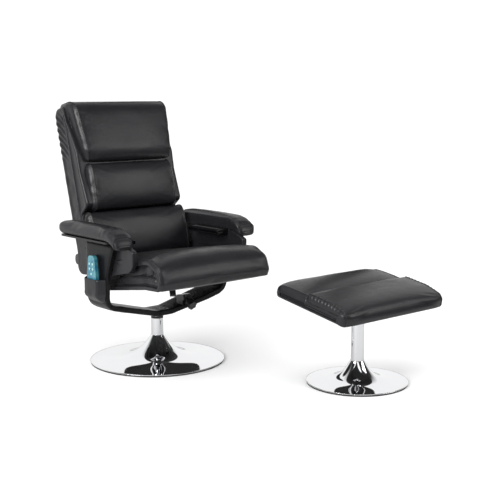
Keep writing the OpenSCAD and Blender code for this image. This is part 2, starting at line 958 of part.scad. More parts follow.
module back_hinge_plates() {
  deep = shell_rear - shell_wall - board_y - back_board_t - 6;
  color("dimgray") on_back() both_sides() difference() {
    translate([back_inner - hinge_plate_t, board_y + back_board_t, -hinge_plate_foot]) {
      cube([hinge_plate_t, deep, hinge_plate_h]);
    }
    translate([back_inner - hinge_plate_t - 1, 0, 0]) rotate([0, 90, 0]) {
      cylinder(r = hinge_pin_r + run_fit, h = hinge_plate_t + 2);
    }
  }
}

// Steel plate on an arm panel's inner face, with the boss and pin that the back turns on
module hinge_bracket() {
  color("dimgray") on_cradle() {
    along_x(panel_in - hinge_bracket_t, panel_in) polygon(rounded(
      [
        [96, hinge_h - 26],
        [hinge_y + 20, hinge_h - 20],
        [hinge_y + 20, hinge_h + 20],
        [96, hinge_h + 40]
      ],
      [6, 18, 18, 6]
    ));
    translate([0, hinge_y, hinge_h]) rotate([0, 90, 0]) {
      translate([0, 0, back_inner - hinge_plate_t - 1]) {
        cylinder(r = hinge_pin_r, h = panel_in - hinge_bracket_t + 1 - back_inner + hinge_plate_t + 1);
      }
      translate([0, 0, back_w / 2 + 1]) cylinder(r = boss_r, h = panel_in - hinge_bracket_t - back_w / 2);
    }
  }
}

module back_cushion(z0, h, depth, half) {
  y0 = board_y - soft_gap - depth;
  outline = [for (p = plump(36, 4))
    [y0 + depth / 2 + p[0] * depth / 2, z0 + h / 2 + p[1] * h / 2]];
  cushion(outline, half, cushion_edge, crown_front = 6);
}

// Lumbar cushion, whose front spreads over the wings towards the arm panels
module lumbar_cushion() {
  ears_rear = -wing_lumbar - soft_gap;
  color("#2b2b2f") on_back() difference() {
    back_cushion(lumbar_z, lumbar_h, lumbar_t, panel_in - lumbar_gap);
    both_sides() along_x(cushion_half, panel_in) polygon([
      [ears_rear, lumbar_z - 1],
      [0, lumbar_z - 1],
      [0, lumbar_z + lumbar_h + 1],
      [ears_rear, lumbar_z + lumbar_h + 1]
    ]);
  }
}

module middle_cushion() {
  color("#2b2b2f") on_back() back_cushion(middle_z, middle_h, middle_t, cushion_half);
}

// Head cushion. It widens upwards, fills the space between the wings and lies over their fronts
// and over the shell's top.
module head_cushion() {
  front = board_y - soft_gap - head_t;
  rear = board_y - soft_gap;
  spread = (head_half / cushion_half - 1) / (back_h - head_z);
  keep_out = [
    [-wing_head - 2 * wing_clear, head_z - 1],
    [-wing_head - wing_clear, wing_knee_z],
    [-wing_brow - wing_clear, wing_brow_z],
    [-shell_front - 2 * wing_clear, shell_top + soft_gap],
    [shell_rear, shell_top + soft_gap],
    [shell_rear, head_z - 1]
  ];
  color("#2b2b2f") on_back() difference() {
    translate([0, 0, head_z]) cushion(
      rounded(
        [
          [head_over, 0],
          [head_over, back_h - head_z],
          [front + head_taper, back_h - head_z],
          [front, 50],
          [front + 12, 0]
        ],
        [0, 12, 56, 70, 20]
      ),
      cushion_half, cushion_edge, crown_front = 8, flare = spread
    );
    translate([-back_w, rear, head_z - 1]) cube([2 * back_w, back_w, shell_top + soft_gap - head_z + 1]);
    both_sides() along_x(cushion_half, cushion_half + shell_wall * 2) polygon(keep_out);
  }
}

// ---- recline lock ----

// Strap that hangs from the seat board at its rear end and runs forward through the lock
module lock_tongue() {
  front = lock_s - lock_block_d / 2 - tongue_front;
  rear = lock_s + lock_block_d / 2 + seat_travel + tongue_spare;
  color("#1c1c1f") on_seat() translate([lock_x - tongue_w / 2, 0, -tongue_drop - tongue_t]) {
    translate([0, front, 0]) cube([tongue_w, rear + tongue_t - front, tongue_t]);
    translate([0, rear, 0]) cube([tongue_w, tongue_t, tongue_drop + tongue_t]);
  }
}

// Frame of the knob: its origin is on the tongue's underside, and +Z points at the user's hand
module at_lock() {
  on_seat() translate([lock_x, lock_s, -tongue_drop - tongue_t - 0.3]) rotate([90 + lock_angle, 0, 0]) children();
}

// Height of the strip's upper face over the cradle's underside, at a distance from the middle
function strip_face(x) = (x - strip_level) * tan(strip_rise) + strip_t / cos(strip_rise);

module lock_bracket() {
  wide = tongue_w + 2 * lock_wall + 1;
  foot = strip_face(lock_x);
  color("#1c1c1f") difference() {
    union() {
      on_seat() translate([lock_x - wide / 2, lock_s - lock_block_d / 2, -tongue_drop - tongue_t - 14]) {
        cube([wide, lock_block_d, 14 + tongue_t + lock_wall + 0.6]);
      }
      on_cradle() intersection() {
        translate([lock_x - wide / 2, -72, foot - 14]) cube([wide, 44, 40]);
        along_y(-strip_reach, strip_reach) polygon([
          [strip_level, strip_face(strip_level)],
          [panel_in, strip_face(panel_in)],
          [panel_in, strip_face(panel_in) + 60],
          [strip_level, strip_face(strip_level) + 60]
        ]);
      }
      at_lock() translate([0, 0, 6]) cylinder(r = stud_r + 6, h = boss_front - 6);
    }
    on_seat() translate([lock_x - tongue_w / 2 - 0.5, lock_s - lock_block_d, -tongue_drop - tongue_t - 0.3]) {
      cube([tongue_w + 1, 2 * lock_block_d, tongue_t + 0.6]);
    }
    at_lock() translate([0, 0, -4]) cylinder(r = stud_r + run_fit, h = boss_front + 10);
  }
}

module lock_knob() {
  lobes = 6;
  tip = stud_r / tan(lock_angle) + 0.5;
  color("#1c1c1f") at_lock() {
    translate([0, 0, tip]) cylinder(r = stud_r, h = stud_l + 4 - tip);
    translate([0, 0, stud_l]) difference() {
      cylinder(r = knob_r, h = knob_l);
      for (i = [0 : lobes - 1]) rotate(360 / lobes * i) {
        translate([knob_r + 5, 0, 6]) cylinder(r = 8, h = knob_l);
      }
    }
  }
}

// ---- handset ----

// The handset stands with its foot at the origin, its face towards +Z and its height along +Y
module at_handset() {
  on_cradle() translate([handset_x, handset_y, handset_z]) rotate([90, 0, -90]) children();
}

function handset_outline(inset) =
  rounded(
    [
      [-handset_w / 2 + inset, inset],
      [handset_w / 2 - inset, inset],
      [handset_w / 2 - inset, handset_h * 0.5],
      [handset_top_w / 2 - inset, handset_h - inset],
      [-handset_top_w / 2 + inset, handset_h - inset],
      [-handset_w / 2 + inset, handset_h * 0.5]
    ],
    [handset_corner - inset, handset_corner - inset, 60, 16 - inset, 16 - inset, 60]
  );

module handset_back() {
  color("#1d2b33") at_handset() difference() {
    linear_extrude(handset_split) polygon(handset_outline(0));
    translate([0, 0, handset_wall]) linear_extrude(handset_split) polygon(handset_outline(handset_wall));
  }
}

module handset_front() {
  color("#2a9fc0") at_handset() difference() {
    translate([0, 0, handset_split]) linear_extrude(handset_t - handset_split) polygon(handset_outline(0));
    translate([0, 0, handset_split - 1]) {
      linear_extrude(handset_t - handset_split - handset_wall + 1) polygon(handset_outline(handset_wall));
    }
    for (p = button_rows) translate([p[0], p[1], 0]) cylinder(r = button_r + 0.2, h = handset_t + 1);
  }
}

module handset_circuit() {
  color("seagreen") at_handset() translate([0, 0, handset_split - 1.6]) {
    linear_extrude(1.6) polygon(handset_outline(handset_wall + 0.3));
    for (p = button_rows) translate([p[0], p[1], 1]) cylinder(r = 3, h = button_seat - handset_split - 0.4 - button_travel);
  }
}

button_seat = handset_t - handset_wall - 1.5;

module button(i) {
  color("#d8e6ea") at_handset() translate([button_rows[i][0], button_rows[i][1], button_seat]) {
    cylinder(r = button_r, h = handset_t - button_seat + button_rise);
  }
}

// ---- footstool ----

module stool_spindle() {
  color("gainsboro") {
    at_stool() translate([0, 0, stool_post_h - spindle_below]) {
      cylinder(r = spindle_r, h = spindle_below + collar_h + spindle_gap + 2);
    }
    on_stool() translate([-plate_w / 2, -plate_w / 2, 0]) cube([plate_w, plate_w, plate_t]);
  }
}

module stool_board_shape(t) {
  wide = stool_w / 2 - stool_board_rim;
  deep = stool_d / 2 - stool_board_rim;
  linear_extrude(t) polygon(rounded([[-wide, -deep], [wide, -deep], [wide, deep], [-wide, deep]], [20, 20, 20, 20]));
}

module stool_board() {
  color("burlywood") on_stool() translate([0, 0, plate_t]) stool_board_shape(stool_board_t);
}

module stool_cushion() {
  front = -stool_d / 2 + stool_lip + soft_gap;
  color("#2b2b2f") on_stool() translate([0, 0, plate_t]) difference() {
    cushion(
      rounded(
        [
          [stool_d / 2, 0],
          [stool_d / 2, stool_t - 3],
          [stool_valley + 4, stool_t],
          [stool_valley, stool_t - stool_step],
          [front, stool_t - stool_step],
          [front, 0]
        ],
        [10, 16, 6, 2, 4, 4]
      ),
      stool_w / 2, stool_edge, under = 0.3
    );
    translate([0, 0, -1]) stool_board_shape(stool_board_t + 1);
  }
}

// Raised front pad, which also covers the cushion's front down to its lower edge
module stool_front_pad() {
  foot = stool_t - stool_step + soft_gap;
  front = -stool_d / 2;
  color("#2b2b2f") on_stool() translate([0, 0, plate_t]) cushion(
    rounded(
      [
        [stool_valley - 2, foot],
        [stool_valley - 1, foot + stool_pad_t],
        [stool_valley - stool_pad_d * 0.6, foot + stool_pad_t],
        [front, foot + 4],
        [front, 0],
        [front + stool_lip, 0],
        [front + stool_lip, foot]
      ],
      [3, 9, 60, 24, 8, 2, 2]
    ),
    stool_w / 2 - 1, 10, under = 0.3
  );
}

chair_disc();
chair_floor_ring();
chair_ballast();
chair_post();
chair_bush();
stool_disc();
stool_floor_ring();
stool_ballast();
stool_post();
stool_bush();
chair_spindle();
cradle_bar();
cradle_cover();
frame_bolts();
arm_panel();  // arm_panel_left
scale_x(-1) arm_panel();  // arm_panel_right
arm_board();  // arm_board_left
scale_x(-1) arm_board();  // arm_board_right
arm_pad();  // arm_pad_left
scale_x(-1) arm_pad();  // arm_pad_right
remote_pocket();
guide_pins();
hinge_bracket();  // hinge_bracket_left
scale_x(-1) hinge_bracket();  // hinge_bracket_right
lock_bracket();
lock_knob();
seat_board();
seat_cushion();
seat_guide();  // seat_guide_left
scale_x(-1) seat_guide();  // seat_guide_right
lock_tongue();
seat_motor_casings();
color("goldenrod") in_seat_motor(1) rotor();  // seat_rotor_left
color("goldenrod") in_seat_motor(-1) rotor();  // seat_rotor_right
control_box();
power_inlet();
back_board();
back_shell();
back_hinge_plates();
back_motor_casings();
color("goldenrod") in_back_motor(1, low_motor_h) rotor();  // back_rotor_low_left
color("goldenrod") in_back_motor(-1, low_motor_h) rotor();  // back_rotor_low_right
color("goldenrod") in_back_motor(1, high_motor_h) rotor();  // back_rotor_high_left
color("goldenrod") in_back_motor(-1, high_motor_h) rotor();  // back_rotor_high_right
head_cushion();
middle_cushion();
lumbar_cushion();
handset_front();
handset_back();
handset_circuit();
button(4);  // power_button
button(0);  // strength_button
button(1);  // speed_button
button(2);  // zone_button
button(3);  // timer_button
stool_spindle();
stool_board();
stool_cushion();
stool_front_pad();
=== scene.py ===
import bpy
import bmesh
import math
import numpy as np
from mathutils import Matrix, Vector, noise
from types import SimpleNamespace as Sizes


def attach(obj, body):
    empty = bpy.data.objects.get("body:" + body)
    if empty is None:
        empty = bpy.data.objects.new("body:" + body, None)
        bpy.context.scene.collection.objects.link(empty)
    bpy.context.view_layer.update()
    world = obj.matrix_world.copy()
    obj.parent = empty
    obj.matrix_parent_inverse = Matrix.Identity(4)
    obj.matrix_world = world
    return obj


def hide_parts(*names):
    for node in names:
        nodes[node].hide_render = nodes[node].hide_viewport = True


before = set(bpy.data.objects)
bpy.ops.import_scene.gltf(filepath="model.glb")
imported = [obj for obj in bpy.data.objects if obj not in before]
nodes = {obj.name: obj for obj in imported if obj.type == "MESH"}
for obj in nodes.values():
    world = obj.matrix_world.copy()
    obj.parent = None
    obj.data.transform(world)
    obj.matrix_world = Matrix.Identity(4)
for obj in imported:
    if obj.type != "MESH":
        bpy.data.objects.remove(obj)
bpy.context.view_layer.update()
mm = 0.001

camera = {"place": (-2.402, -3.352, 1.109), "down": 8.925, "turn": -41.03, "lens": 72.3, "sensor": 36,
          "clip": (0.05, 90)}


def addCamera():
    data = bpy.data.cameras.new("Camera")
    data.lens = camera["lens"]
    data.sensor_width = camera["sensor"]
    data.clip_start, data.clip_end = camera["clip"]
    obj = bpy.data.objects.new("Camera", data)
    obj.location = camera["place"]
    obj.rotation_euler = (math.radians(90 - camera["down"]), 0, math.radians(camera["turn"]))
    bpy.context.scene.collection.objects.link(obj)
    bpy.context.scene.camera = obj


addCamera()
print("camera set")


# The tilted groups, each with its own frame in millimetres

def tilted(place, degrees):
    return Matrix.Translation(Vector(place) * mm) @ Matrix.Rotation(math.radians(degrees), 4, "X")


cradleFrame = tilted((0, 0, 197), 0)
seatFrame = tilted((0, 0, 326), -8.8)
backFrame = tilted((0, 185, 430), -13)
stoolFrame = tilted((384, -782, 314), 9.6) @ Matrix.Translation((0, 0, 5 * mm))


# Outlines are arrays of [y, z] points, walked anticlockwise seen from +X

def rounded(points, radii, steps=8):
    points = [Vector(p) for p in points]
    out = []
    for i, b in enumerate(points):
        a, c, r = points[i - 1], points[(i + 1) % len(points)], radii[i]
        if r == 0:
            out.append(b)
            continue
        u, w = (a - b).normalized(), (c - b).normalized()
        opening = u.angle(w)
        reach = r / math.tan(opening / 2)
        centre = b + (u + w).normalized() * r / math.sin(opening / 2)
        start, end = b + u * reach - centre, b + w * reach - centre
        turn = math.pi - opening
        for k in range(steps + 1):
            t = k / steps
            arc = start * math.sin((1 - t) * turn) + end * math.sin(t * turn)
            out.append(centre + arc / math.sin(turn))
    return np.array([tuple(p) for p in out])


def resample(outline, count, closed=True):
    pts = np.vstack([outline, outline[:1]]) if closed else outline
    step = np.linalg.norm(np.diff(pts, axis=0), axis=1)
    s = np.concatenate([[0], np.cumsum(step)])
    want = np.linspace(0, s[-1], count, endpoint=not closed)
    return np.stack([np.interp(want, s, pts[:, k]) for k in range(pts.shape[1])], axis=1)


def smoothed(values, rounds):
    for _ in range(rounds):
        values = (np.roll(values, 1, 0) + 2 * values + np.roll(values, -1, 0)) / 4
    return values


def plump(count, square):
    a = np.linspace(0, 2 * math.pi, count, endpoint=False)
    c, s = np.cos(a), np.sin(a)
    return np.stack([np.sign(c) * abs(c) ** (2 / square), np.sign(s) * abs(s) ** (2 / square)], axis=1)


# 0 up to low, then a soft rise to 1
def ramp(value, low, soft):
    t = np.clip((value - low) / soft, 0, 1)
    return t * t * (3 - 2 * t)


# 1 between low and high, with soft ends inside that span
def bump01(value, low, high, soft):
    rise = np.clip((value - low) / soft, 0, 1)
    fall = np.clip((high - value) / soft, 0, 1)
    both = np.minimum(rise, fall)
    return both * both * (3 - 2 * both)


def wander(points, pitch, seed):
    return np.array([noise.noise(Vector(p) / pitch + Vector((seed, 0, 0))) for p in points])


# Fine lines where such noise passes through zero: 1 on a line, 0 beside it
def creases(points, pitch, seed, sharp, stretch=(1, 1, 1)):
    return np.clip(1 - np.abs(wander(points * np.array(stretch), pitch, seed)) * sharp, 0, 1)


# Meshes

def makePiece(name, points, faces, material=None, smooth=True, merge=True):
    mesh = bpy.data.meshes.new(name)
    mesh.from_pydata([tuple(p) for p in points], [], faces)
    bm = bmesh.new()
    bm.from_mesh(mesh)
    if merge:
        bmesh.ops.remove_doubles(bm, verts=bm.verts, dist=1e-6)
    bmesh.ops.recalc_face_normals(bm, faces=bm.faces)
    bm.to_mesh(mesh)
    bm.free()
    mesh.polygons.foreach_set("use_smooth", [smooth] * len(mesh.polygons))
    obj = bpy.data.objects.new(name, mesh)
    bpy.context.scene.collection.objects.link(obj)
    if material:
        mesh.materials.append(material)
    return obj


# Closed skin over rings. An end closes in towards the middle line of its outline, ring by ring:
# depths gives how far in each of those rings lies, and sunk how far behind the end, in millimetres.
def loftRings(rings, depths, sunk=None):
    rings = [np.asarray(r, float) for r in rings]
    count = len(rings[0])
    sunk = np.zeros(len(depths)) if sunk is None else sunk
    firstReach, laterReach = 0.55, 0.40

    def closing(ring, beside):
        lean = ring.mean(0) - beside.mean(0)
        across = int(np.argmax(abs(lean)))
        out = np.eye(3)[across] * np.sign(lean[across])
        flat = [k for k in range(3) if k != across]
        lo, hi = ring[:, flat].min(0), ring[:, flat].max(0)
        long = int(np.argmax(hi - lo))
        thin = (hi - lo).min() / 2
        target = ring.copy()
        target[:, flat[1 - long]] = (lo + hi)[1 - long] / 2
        target[:, flat[long]] = np.clip(ring[:, flat[long]], lo[long] + thin, hi[long] - thin)
        way = target - ring
        reach = np.linalg.norm(way, axis=1)[:, None]
        way = way / np.maximum(reach, 1e-9)
        closed = []
        for k, (d, s) in enumerate(zip(depths, sunk)):
            furthest = reach * (firstReach + laterReach * (k + 1) / len(depths))
            closed.append(ring + way * np.minimum(d, furthest) - out * s)
        return closed, closed[-1].mean(0)

    inner = len(rings) // 3
    head, hubA = closing(rings[0], rings[inner])
    tail, hubB = closing(rings[-1], rings[-1 - inner])
    every = head[::-1] + rings + tail
    points = np.vstack(every + [hubA[None], hubB[None]])
    faces = []
    for j in range(len(every) - 1):
        for i in range(count):
            k = (i + 1) % count
            faces.append((j * count + i, j * count + k, (j + 1) * count + k, (j + 1) * count + i))
    a, b, top = len(every) * count, len(every) * count + 1, (len(every) - 1) * count
    for i in range(count):
        k = (i + 1) % count
        faces.append((a, k, i))
        faces.append((b, top + i, top + k))
    return points, faces


def endInset(x, half, edge):
    t = np.clip((abs(x) - half + edge) / edge, 0, 1)
    return edge * (1 - math.sqrt(max(0.0, 1 - t * t)))


def stations(half, edge, ends, middle):
    a = [-half + edge * (1 - math.sin(math.pi / 2 * (1 - i / ends))) for i in range(ends)]
    return a + list(np.linspace(-half + edge, half - edge, middle + 1)) + [-x for x in a[::-1]]


# Cushion across X over an outline, in millimetres of its own frame. It gives the mesh, a table of
# which vertex is which, grid[station, point of the outline], and the points of the middle station.
def loftCushion(outline, half, edge, around, across=46, ends=7, crownUp=0, crownFront=0, under=1.0, flare=0.0,
                foot=0.0, limit=None, depths=(4, 9, 15, 22, 30, 40), sunk=None, extra=()):
    outline = resample(outline, around)
    lo, hi = outline.min(0), outline.max(0)
    c, h = (lo + hi) / 2, (hi - lo) / 2
    xs = sorted(stations(half, edge, ends, across) + [s * e for e in extra for s in (-1, 1)])
    rings = []
    for x in xs:
        inset = endInset(x, half, edge)
        swell = 1 - (x / half) ** 2
        v = (outline - c) / h
        y = c[0] + v[:, 0] * (h[0] - inset) - np.maximum(0, -v[:, 0]) * crownFront * swell
        z = c[1] + v[:, 1] * (h[1] - np.where(v[:, 1] < 0, inset * under, inset))
        z = z + np.maximum(0, v[:, 1]) * crownUp * swell
        if limit:
            y = limit(x, y, z)
        rings.append(np.stack([x * (1 + flare * (z - foot)), y, z], axis=1))
    points, faces = loftRings(rings, depths, sunk)
    grid = np.arange(len(xs) * around).reshape(len(xs), around) + len(depths) * around
    return points, faces, grid, points[grid[len(xs) // 2]]


def coords(obj):
    co = np.empty(len(obj.data.vertices) * 3)
    obj.data.vertices.foreach_get("co", co)
    return co.reshape(-1, 3)


def setCoords(obj, co):
    obj.data.vertices.foreach_set("co", np.asarray(co, np.float32).ravel())
    obj.data.update()


def normalsOf(obj):
    n = np.empty(len(obj.data.vertices) * 3)
    obj.data.vertices.foreach_get("normal", n)
    return n.reshape(-1, 3)


def swellBy(obj, amount):
    setCoords(obj, coords(obj) + normalsOf(obj) * amount[:, None])


def place(obj, matrix):
    obj.data.transform(matrix @ Matrix.Diagonal((mm, mm, mm, 1)))
    obj.data.update()


def evaluated(obj):
    graph = bpy.context.evaluated_depsgraph_get()
    return bpy.data.meshes.new_from_object(obj.evaluated_get(graph), preserve_all_data_layers=True,
                                           depsgraph=graph)


# One more subdivision, made plain. The vertices it starts from keep their numbers.
def subdivide(obj):
    modifier = obj.modifiers.new("smooth", "SUBSURF")
    modifier.levels = modifier.render_levels = 1
    modifier.use_limit_surface = False
    mesh = evaluated(obj)
    obj.modifiers.clear()
    old, obj.data = obj.data, mesh
    bpy.data.meshes.remove(old)
    obj.data.polygons.foreach_set("use_smooth", [True] * len(obj.data.polygons))


cloth = {"pressure": 4.0, "frames": 20, "quality": 4, "mass": 0.25, "bending": 0.6, "stretch": 18, "shear": 6,
         "soften": 4, "share": 0.6, "levels": 10}


# Blows a cushion up as cloth. hold is 1 where the cover is sewn down and 0 where it is free. cap is
# the most that it moves and slack how far it starts below its rest shape, in metres.
def inflate(obj, hold, cap, slack=0.003):
    rest = coords(obj)
    setCoords(obj, rest - normalsOf(obj) * (slack * (1 - hold))[:, None])
    start = coords(obj)
    group = obj.vertex_groups.new(name="sewn")
    levels = cloth["levels"]
    for level in range(1, levels + 1):
        chosen = np.nonzero(np.round(hold * levels).astype(int) == level)[0]
        if len(chosen):
            group.add([int(i) for i in chosen], level / levels, "REPLACE")
    modifier = obj.modifiers.new("cloth", "CLOTH")
    s = modifier.settings
    s.quality = cloth["quality"]
    s.mass = cloth["mass"]
    s.tension_stiffness = s.compression_stiffness = cloth["stretch"]
    s.shear_stiffness = cloth["shear"]
    s.bending_stiffness = cloth["bending"]
    s.use_pressure = True
    s.uniform_pressure_force = cloth["pressure"]
    s.vertex_group_mass = "sewn"
    s.effector_weights.gravity = 0
    modifier.collision_settings.use_collision = False
    scene = bpy.context.scene
    modifier.point_cache.frame_start, modifier.point_cache.frame_end = 1, cloth["frames"]
    for f in range(1, cloth["frames"] + 1):
        scene.frame_set(f)
    mesh = evaluated(obj)
    co = np.empty(len(mesh.vertices) * 3)
    mesh.vertices.foreach_get("co", co)
    move = co.reshape(-1, 3) - start
    far = np.linalg.norm(move, axis=1)
    move *= np.minimum(1, cap / np.maximum(far, 1e-9))[:, None]
    ends = np.array([e.vertices[:] for e in mesh.edges])
    links = np.bincount(ends.ravel(), minlength=len(move))[:, None]
    for _ in range(cloth["soften"]):
        total = np.zeros_like(move)
        np.add.at(total, ends[:, 0], move[ends[:, 1]])
        np.add.at(total, ends[:, 1], move[ends[:, 0]])
        move = (1 - cloth["share"]) * move + cloth["share"] * total / links
    obj.modifiers.clear()
    bpy.data.meshes.remove(mesh)
    scene.frame_set(1)
    setCoords(obj, start + move * (1 - hold)[:, None])


def ride(obj, body, replaced=()):
    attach(obj, body)
    if replaced:
        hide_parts(*replaced)
    return obj


# Node trees. A Value is one socket that takes part in sums, a Tree makes every other node.

class Value:
    def __init__(self, tree, socket):
        self.tree, self.socket = tree, socket

    def sum(self, kind, a, b):
        return self.tree.node("ShaderNodeMath", {"operation": kind}, {0: a, 1: b})[0]

    def __add__(self, other): return self.sum("ADD", self, other)
    def __radd__(self, other): return self.sum("ADD", other, self)
    def __sub__(self, other): return self.sum("SUBTRACT", self, other)
    def __rsub__(self, other): return self.sum("SUBTRACT", other, self)
    def __mul__(self, other): return self.sum("MULTIPLY", self, other)


class Outputs:
    def __init__(self, tree, made):
        self.tree, self.made = tree, made

    def __getitem__(self, key):
        return Value(self.tree, self.made.outputs[key])


class Tree:
    def __init__(self, tree):
        self.tree = tree

    def node(self, kind, settings=None, inputs=None):
        made = self.tree.nodes.new(kind)
        for key, value in (settings or {}).items():
            setattr(made, key, value)
        for key, value in (inputs or {}).items():
            if isinstance(value, Value):
                self.tree.links.new(value.socket, made.inputs[key])
            else:
                made.inputs[key].default_value = value
        return Outputs(self, made)

    def noise(self, at, scale, detail=3.0, rough=0.5, bend=0.0):
        field = {"Vector": at, "Scale": scale, "Detail": detail, "Roughness": rough, "Distortion": bend}
        return self.node("ShaderNodeTexNoise", {}, field)["Fac"]

    def between(self, value, low, high, start, end):
        span = {"Value": value, "From Min": low, "From Max": high, "To Min": start, "To Max": end}
        return self.node("ShaderNodeMapRange", {"clamp": True}, span)["Result"]

    def mix(self, factor, a, b):
        ends = [c if isinstance(c, Value) else (*c, 1) for c in (a, b)]
        return self.node("ShaderNodeMix", {"data_type": "RGBA"}, {0: factor, 6: ends[0], 7: ends[1]})[2]

    def bump(self, height, distance, strength=0.5, over=None):
        inputs = {"Strength": strength, "Distance": distance, "Height": height}
        if over:
            inputs["Normal"] = over
        return self.node("ShaderNodeBump", {}, inputs)["Normal"]


def startPaint(name):
    material = bpy.data.materials.new(name)
    material.use_nodes = True
    material.node_tree.nodes.clear()
    tree = Tree(material.node_tree)
    return material, tree, tree.node("ShaderNodeTexCoord")["Object"]


def endPaint(material, tree, **sockets):
    shader = tree.node("ShaderNodeBsdfPrincipled", {}, {k.replace("_", " "): v for k, v in sockets.items()})
    tree.node("ShaderNodeOutputMaterial", {}, {"Surface": shader["BSDF"]})
    return material


# Scales of the noise fields, and depths of their relief in metres
leather = {"grain": 820.0, "grainDepth": 0.00012, "pores": 1500.0, "fold": 15.0, "foldDepth": 0.0011,
           "wrinkle": 60.0, "wrinkleDepth": 0.0004, "cloud": 7.0, "wear": 48.0, "relief": 0.45}


def leatherPaint(name, dark, light, rough, coat, fold=1.0, specular=0.42):
    m, t, at = startPaint(name)
    cells = t.node("ShaderNodeTexVoronoi", {"feature": "DISTANCE_TO_EDGE"},
                   {"Vector": at, "Scale": leather["grain"], "Randomness": 0.9})["Distance"]
    edge = t.between(cells, 0.0, 0.12, 0.0, 1.0)
    pores = t.noise(at, leather["pores"])
    cloud = t.noise(at, leather["cloud"], 4.0, 0.55)
    wear = t.noise(at, leather["wear"], 5.0, 0.6)
    folds = t.noise(at, leather["fold"], 3.0, 0.5, 0.9)
    wrinkles = t.noise(at, leather["wrinkle"], 4.0, 0.62, 1.4)
    shade = cloud * 0.6 + wear * 0.25 + edge * 0.15
    normal = t.bump(edge * 0.7 + pores * 0.3, leather["grainDepth"], 0.5)
    normal = t.bump(wrinkles, leather["wrinkleDepth"] * fold, leather["relief"], normal)
    normal = t.bump(folds, leather["foldDepth"] * fold, leather["relief"], normal)
    return endPaint(m, t, Base_Color=t.mix(shade, dark, light),
                    Roughness=t.between(cloud * 0.5 + wear * 0.5, 0.3, 0.7, *rough), Normal=normal,
                    Coat_Weight=coat, Coat_Roughness=0.3, Specular_IOR_Level=specular)


blackLeather = leatherPaint("Black leather", (0.0065, 0.0065, 0.0078), (0.0155, 0.0155, 0.0185),
                            (0.33, 0.46), 0.12)
# The strip's leather is a darker, less shiny copy of the black leather: its darker colour is painted shade
shadedBandLeather = leatherPaint("Band leather, painted shade", (0.0025, 0.0025, 0.003), (0.007, 0.007, 0.008),
                           (0.24, 0.36), 0.10, 1.8, 0.16)
threadPaint = leatherPaint("Black thread", (0.012, 0.012, 0.014), (0.03, 0.03, 0.033), (0.5, 0.65), 0.0, 0.1)


def chromePaint(name):
    m, t, at = startPaint(name)
    haze = t.noise(at, 14.0, 4.0)
    return endPaint(m, t, Base_Color=t.mix(haze, (0.84, 0.845, 0.86), (0.88, 0.885, 0.895)),
                    Roughness=t.between(haze, 0.3, 0.7, 0.02, 0.05), Metallic=1.0)


chrome = chromePaint("Mirror chrome")


# dark and light are the ends of the colour, rough those of the roughness, scale and depth the grain's
def mouldedPaint(name, dark, light, rough, scale=300.0, depth=0.00005, metallic=0.0, coat=0.0):
    m, t, at = startPaint(name)
    dark, light = [c if isinstance(c, tuple) else (c,) * 3 for c in (dark, light)]
    grain = t.noise(at, scale, 4.0)
    cloud = t.noise(at, 18.0)
    return endPaint(m, t, Base_Color=t.mix(cloud * 0.6 + grain * 0.4, dark, light),
                    Roughness=t.between(cloud * 0.5 + grain * 0.5, 0.3, 0.7, *rough),
                    Normal=t.bump(grain, depth), Metallic=metallic, Coat_Weight=coat)


rubber = mouldedPaint("Black rubber", 0.012, 0.03, (0.6, 0.8))
enamel = mouldedPaint("Black enamel", (0.006, 0.006, 0.007), (0.016, 0.016, 0.018), (0.22, 0.36), 500.0,
                      0.00004, coat=0.3)
nylon = mouldedPaint("Black nylon", (0.008, 0.008, 0.009), (0.018, 0.018, 0.02), (0.35, 0.5))
groundSteel = mouldedPaint("Ground steel", (0.72, 0.72, 0.74), (0.86, 0.86, 0.87), (0.10, 0.2), 700.0,
                           0.00002, metallic=1.0)
zincPlate = mouldedPaint("Zinc plate", (0.42, 0.43, 0.46), (0.58, 0.58, 0.6), (0.25, 0.4), 500.0,
                         0.00003, metallic=1.0)
brass = mouldedPaint("Turned brass", (0.55, 0.4, 0.16), (0.75, 0.57, 0.28), (0.2, 0.35), 500.0,
                     0.00003, metallic=1.0)
laminate = mouldedPaint("Green laminate", (0.02, 0.14, 0.06), (0.05, 0.25, 0.12), (0.4, 0.5))
knobPlastic = mouldedPaint("Knob plastic", 0.006, 0.015, (0.2, 0.32), 400.0, 0.00004, coat=0.3)
casingPlastic = mouldedPaint("Casing plastic", (0.03, 0.031, 0.034), (0.05, 0.05, 0.055), (0.45, 0.6))
buttonRubber = mouldedPaint("Button rubber", (0.22, 0.42, 0.42), (0.4, 0.6, 0.58), (0.35, 0.5))
dustCover = mouldedPaint("Dust cover", 0.006, 0.016, (0.75, 0.9), 1400.0, 0.0003)


def plywoodPaint():
    m, t, at = startPaint("Plywood")
    rings = t.node("ShaderNodeTexWave", {"bands_direction": "X"},
                   {"Vector": at, "Scale": 14.0, "Distortion": 6.0, "Detail": 3.0})["Fac"]
    grain = t.noise(at, 160.0, 4.0)
    return endPaint(m, t, Base_Color=t.mix(rings * 0.6 + grain * 0.4, (0.42, 0.27, 0.13), (0.62, 0.44, 0.24)),
                    Roughness=0.62, Normal=t.bump(grain, 0.0002, 0.4))


plywood = plywoodPaint()


def handsetPaint():
    m, t, at = startPaint("Handset shell")
    fleck = t.node("ShaderNodeTexVoronoi", {}, {"Vector": at, "Scale": 260.0})["Distance"]
    cloud = t.noise(at, 24.0)
    sheen = t.between(t.noise(at, 30.0, 2.0), 0.45, 0.6, 0.0, 1.0)
    base = t.mix(cloud, (0.010, 0.085, 0.16), (0.024, 0.19, 0.27))
    colour = t.mix(t.between(fleck, 0.12, 0.34, 0.4, 0.0) + sheen * 0.25, base, (0.17, 0.46, 0.38))
    return endPaint(m, t, Base_Color=colour, Roughness=0.26 + cloud * 0.1, Normal=t.bump(fleck, 0.00005, 0.2),
                    Coat_Weight=0.5)


handsetShell = handsetPaint()
print("materials made")


